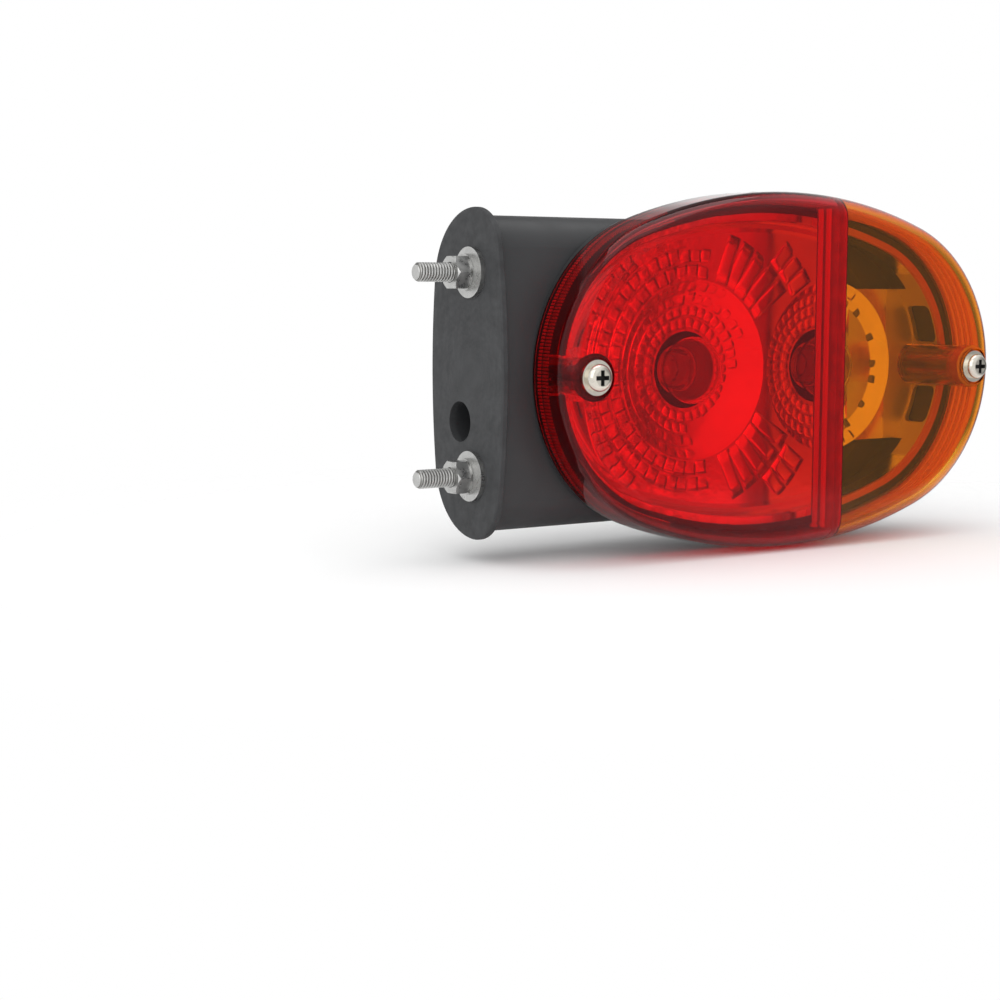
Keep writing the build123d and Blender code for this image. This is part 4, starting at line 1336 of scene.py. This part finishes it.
class LAMP_OT_hardware(bpy.types.Operator):
    """Gives nuts, washers and lens screws their plating"""

    bl_idname = "tail_light.hardware"
    bl_label = "Nuts, washers and screws"

    def execute(self, context):
        finishes = context.scene.tail_light_finishes
        zinc = bright_metal("zinc_steel", finishes.zinc, 0.24, 0.4, 240.0, 0.12)
        nickel = screw_plate(finishes.nickel)
        for level in LEVELS:
            for part in ("flat_washer", "spring_washer", "mounting_nut"):
                dress(f"{part}_{level}", zinc)
        for side in SCREWS:
            dress(f"lens_screw_{side}", nickel)
            dress(f"lens_washer_{side}", nickel)
        return {"FINISHED"}


class LAMP_OT_studs(bpy.types.Operator):
    """Cuts the thread on the two mounting studs"""

    bl_idname = "tail_light.studs"
    bl_label = "Mounting studs"

    def execute(self, context):
        material = thread_steel(shade(context.scene.tail_light_finishes.zinc, 1.05))
        for level in LEVELS:
            node = f"mounting_stud_{level}"
            shank_end = node_high(node)[0] - HEAD_HEIGHT
            mesh = thread_mesh(f"threaded_stud_{level}", context.scene.tail_light_studs, node, shank_end)
            piece = add_piece(f"threaded_stud_{level}", mesh, material, smooth=False)
            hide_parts(node)
        return {"FINISHED"}


class LAMP_OT_stage(bpy.types.Operator):
    """Sets the floor, the light and the camera"""

    bl_idname = "tail_light.stage"
    bl_label = "Stage"

    def execute(self, context):
        sizes = context.scene.tail_light_stage
        scene = context.scene
        scene.view_settings.view_transform = "Standard"
        self.world(scene, sizes)
        self.floor(scene)
        self.lights(scene)
        camera = bpy.data.objects.new("camera", bpy.data.cameras.new("camera"))
        camera.data.sensor_width = SENSOR_WIDTH
        camera.data.lens = sizes.camera_lens
        camera.data.clip_start = 0.01
        camera.location = sizes.camera_place
        camera.rotation_euler = sizes.camera_turn
        scene.collection.objects.link(camera)
        scene.camera = camera
        return {"FINISHED"}

    def world(self, scene, sizes):
        """White room that is dimmer where the plate, the lens face and the lens wall mirror it."""
        world = bpy.data.worlds.new("studio")
        scene.world = world
        world.use_nodes = True
        tree = world.node_tree
        back = tree.nodes["Background"]
        back.inputs["Color"].default_value = (1, 1, 1, 1)
        place = tree.nodes.new("ShaderNodeTexCoord")
        shares = []
        for direction, fade, dim in (
            (DIM_SIDE, DIM_SIDE_FADE, sizes.room),
            (DIM_CEILING, DIM_CEILING_FADE, sizes.ceiling),
        ):
            near = tree.nodes.new("ShaderNodeVectorMath")
            near.operation = "DOT_PRODUCT"
            near.inputs[1].default_value = direction
            tree.links.new(place.outputs["Generated"], near.inputs[0])
            shares.append(spread(tree, near.outputs["Value"], 1.0, dim, *fade))
        tree.links.new(sum_up(tree, "MULTIPLY", *shares), back.inputs["Strength"])

    def floor(self, scene):
        """Pale disc under the lamp that melts into the white room."""
        centre = Vector((*FLOOR_MIDDLE, CAD_BOX[0][2] - FLOOR_GAP))
        turns = [2 * math.pi * side / FLOOR_SIDES for side in range(FLOOR_SIDES)]
        rim = [centre + FLOOR_RADIUS * Vector((math.cos(turn), math.sin(turn), 0)) for turn in turns]
        mesh = mesh_from("floor", rim, [tuple(range(FLOOR_SIDES))])
        material, tree, shader = new_material("studio_floor")
        shader.inputs["Base Color"].default_value = (0.97, 0.97, 0.97, 1)
        shader.inputs["Roughness"].default_value = 0.9
        shader.inputs["Specular IOR Level"].default_value = 0.1
        place = tree.nodes.new("ShaderNodeTexCoord")
        away = tree.nodes.new("ShaderNodeVectorMath")
        away.operation = "DISTANCE"
        away.inputs[1].default_value = centre
        fade = tree.nodes.new("ShaderNodeMapRange")
        fade.interpolation_type = "SMOOTHSTEP"
        fade.inputs["From Min"].default_value = FLOOR_FADE[0]
        fade.inputs["From Max"].default_value = FLOOR_FADE[1]
        tree.links.new(place.outputs["Object"], away.inputs[0])
        tree.links.new(away.outputs["Value"], fade.inputs["Value"])
        see_through(tree, shader, fade.outputs["Result"], (1, 1, 1, 1))
        mesh.materials.append(material)
        floor = bpy.data.objects.new("floor", mesh)
        scene.collection.objects.link(floor)
        floor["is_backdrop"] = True

    def lights(self, scene):
        """Soft area lights that face the lamp."""
        for name, place, size, power in STUDIO_LIGHTS:
            light = bpy.data.lights.new(name, "AREA")
            light.shape = "SQUARE"
            light.size = size
            light.energy = power
            holder = bpy.data.objects.new(name, light)
            holder.location = place
            facing = Vector(LIGHT_TARGET) - Vector(place)
            holder.rotation_euler = facing.to_track_quat("-Z", "Y").to_euler()
            scene.collection.objects.link(holder)


class LAMP_PT_panel(bpy.types.Panel):
    """Lists the steps that dress the lamp"""

    bl_idname = "LAMP_PT_panel"
    bl_label = "Tail Light"
    bl_space_type = "VIEW_3D"
    bl_region_type = "UI"
    bl_category = "Tail Light"

    def draw(self, context):
        for operator in OPERATORS:
            self.layout.operator(operator.bl_idname)


OPERATORS = (
    LAMP_OT_housing, LAMP_OT_lens, LAMP_OT_flutes, LAMP_OT_lens_ribs, LAMP_OT_reflector,
    LAMP_OT_reflector_edge, LAMP_OT_bulbs, LAMP_OT_hardware, LAMP_OT_studs, LAMP_OT_stage,
)
GROUPS = {
    "tail_light_finishes": LampFinishes,
    "tail_light_studs": StudSizes,
    "tail_light_flutes": FluteSizes,
    "tail_light_ribs": RibSizes,
    "tail_light_facets": FacetSizes,
    "tail_light_edge": EdgeSizes,
    "tail_light_stage": StageSizes,
}


def register():
    for group in GROUPS.values():
        bpy.utils.register_class(group)
    for operator in OPERATORS:
        bpy.utils.register_class(operator)
    bpy.utils.register_class(LAMP_PT_panel)
    for name, group in GROUPS.items():
        setattr(bpy.types.Scene, name, PointerProperty(type=group))


def unregister():
    for name in GROUPS:
        delattr(bpy.types.Scene, name)
    bpy.utils.unregister_class(LAMP_PT_panel)
    for operator in OPERATORS:
        bpy.utils.unregister_class(operator)
    for group in GROUPS.values():
        bpy.utils.unregister_class(group)


def main():
    register()
    bpy.ops.tail_light.housing()
    bpy.ops.tail_light.lens()
    bpy.ops.tail_light.flutes()
    bpy.ops.tail_light.lens_ribs()
    bpy.ops.tail_light.reflector()
    bpy.ops.tail_light.reflector_edge()
    bpy.ops.tail_light.bulbs()
    bpy.ops.tail_light.hardware()
    bpy.ops.tail_light.studs()
    bpy.ops.tail_light.stage()
    boxes = {"cad": CAD_BOX, "visual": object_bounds()}
    boxes = {name: [[float(v) for v in corner] for corner in box] for name, box in boxes.items()}


if __name__ == "__main__":
    main()
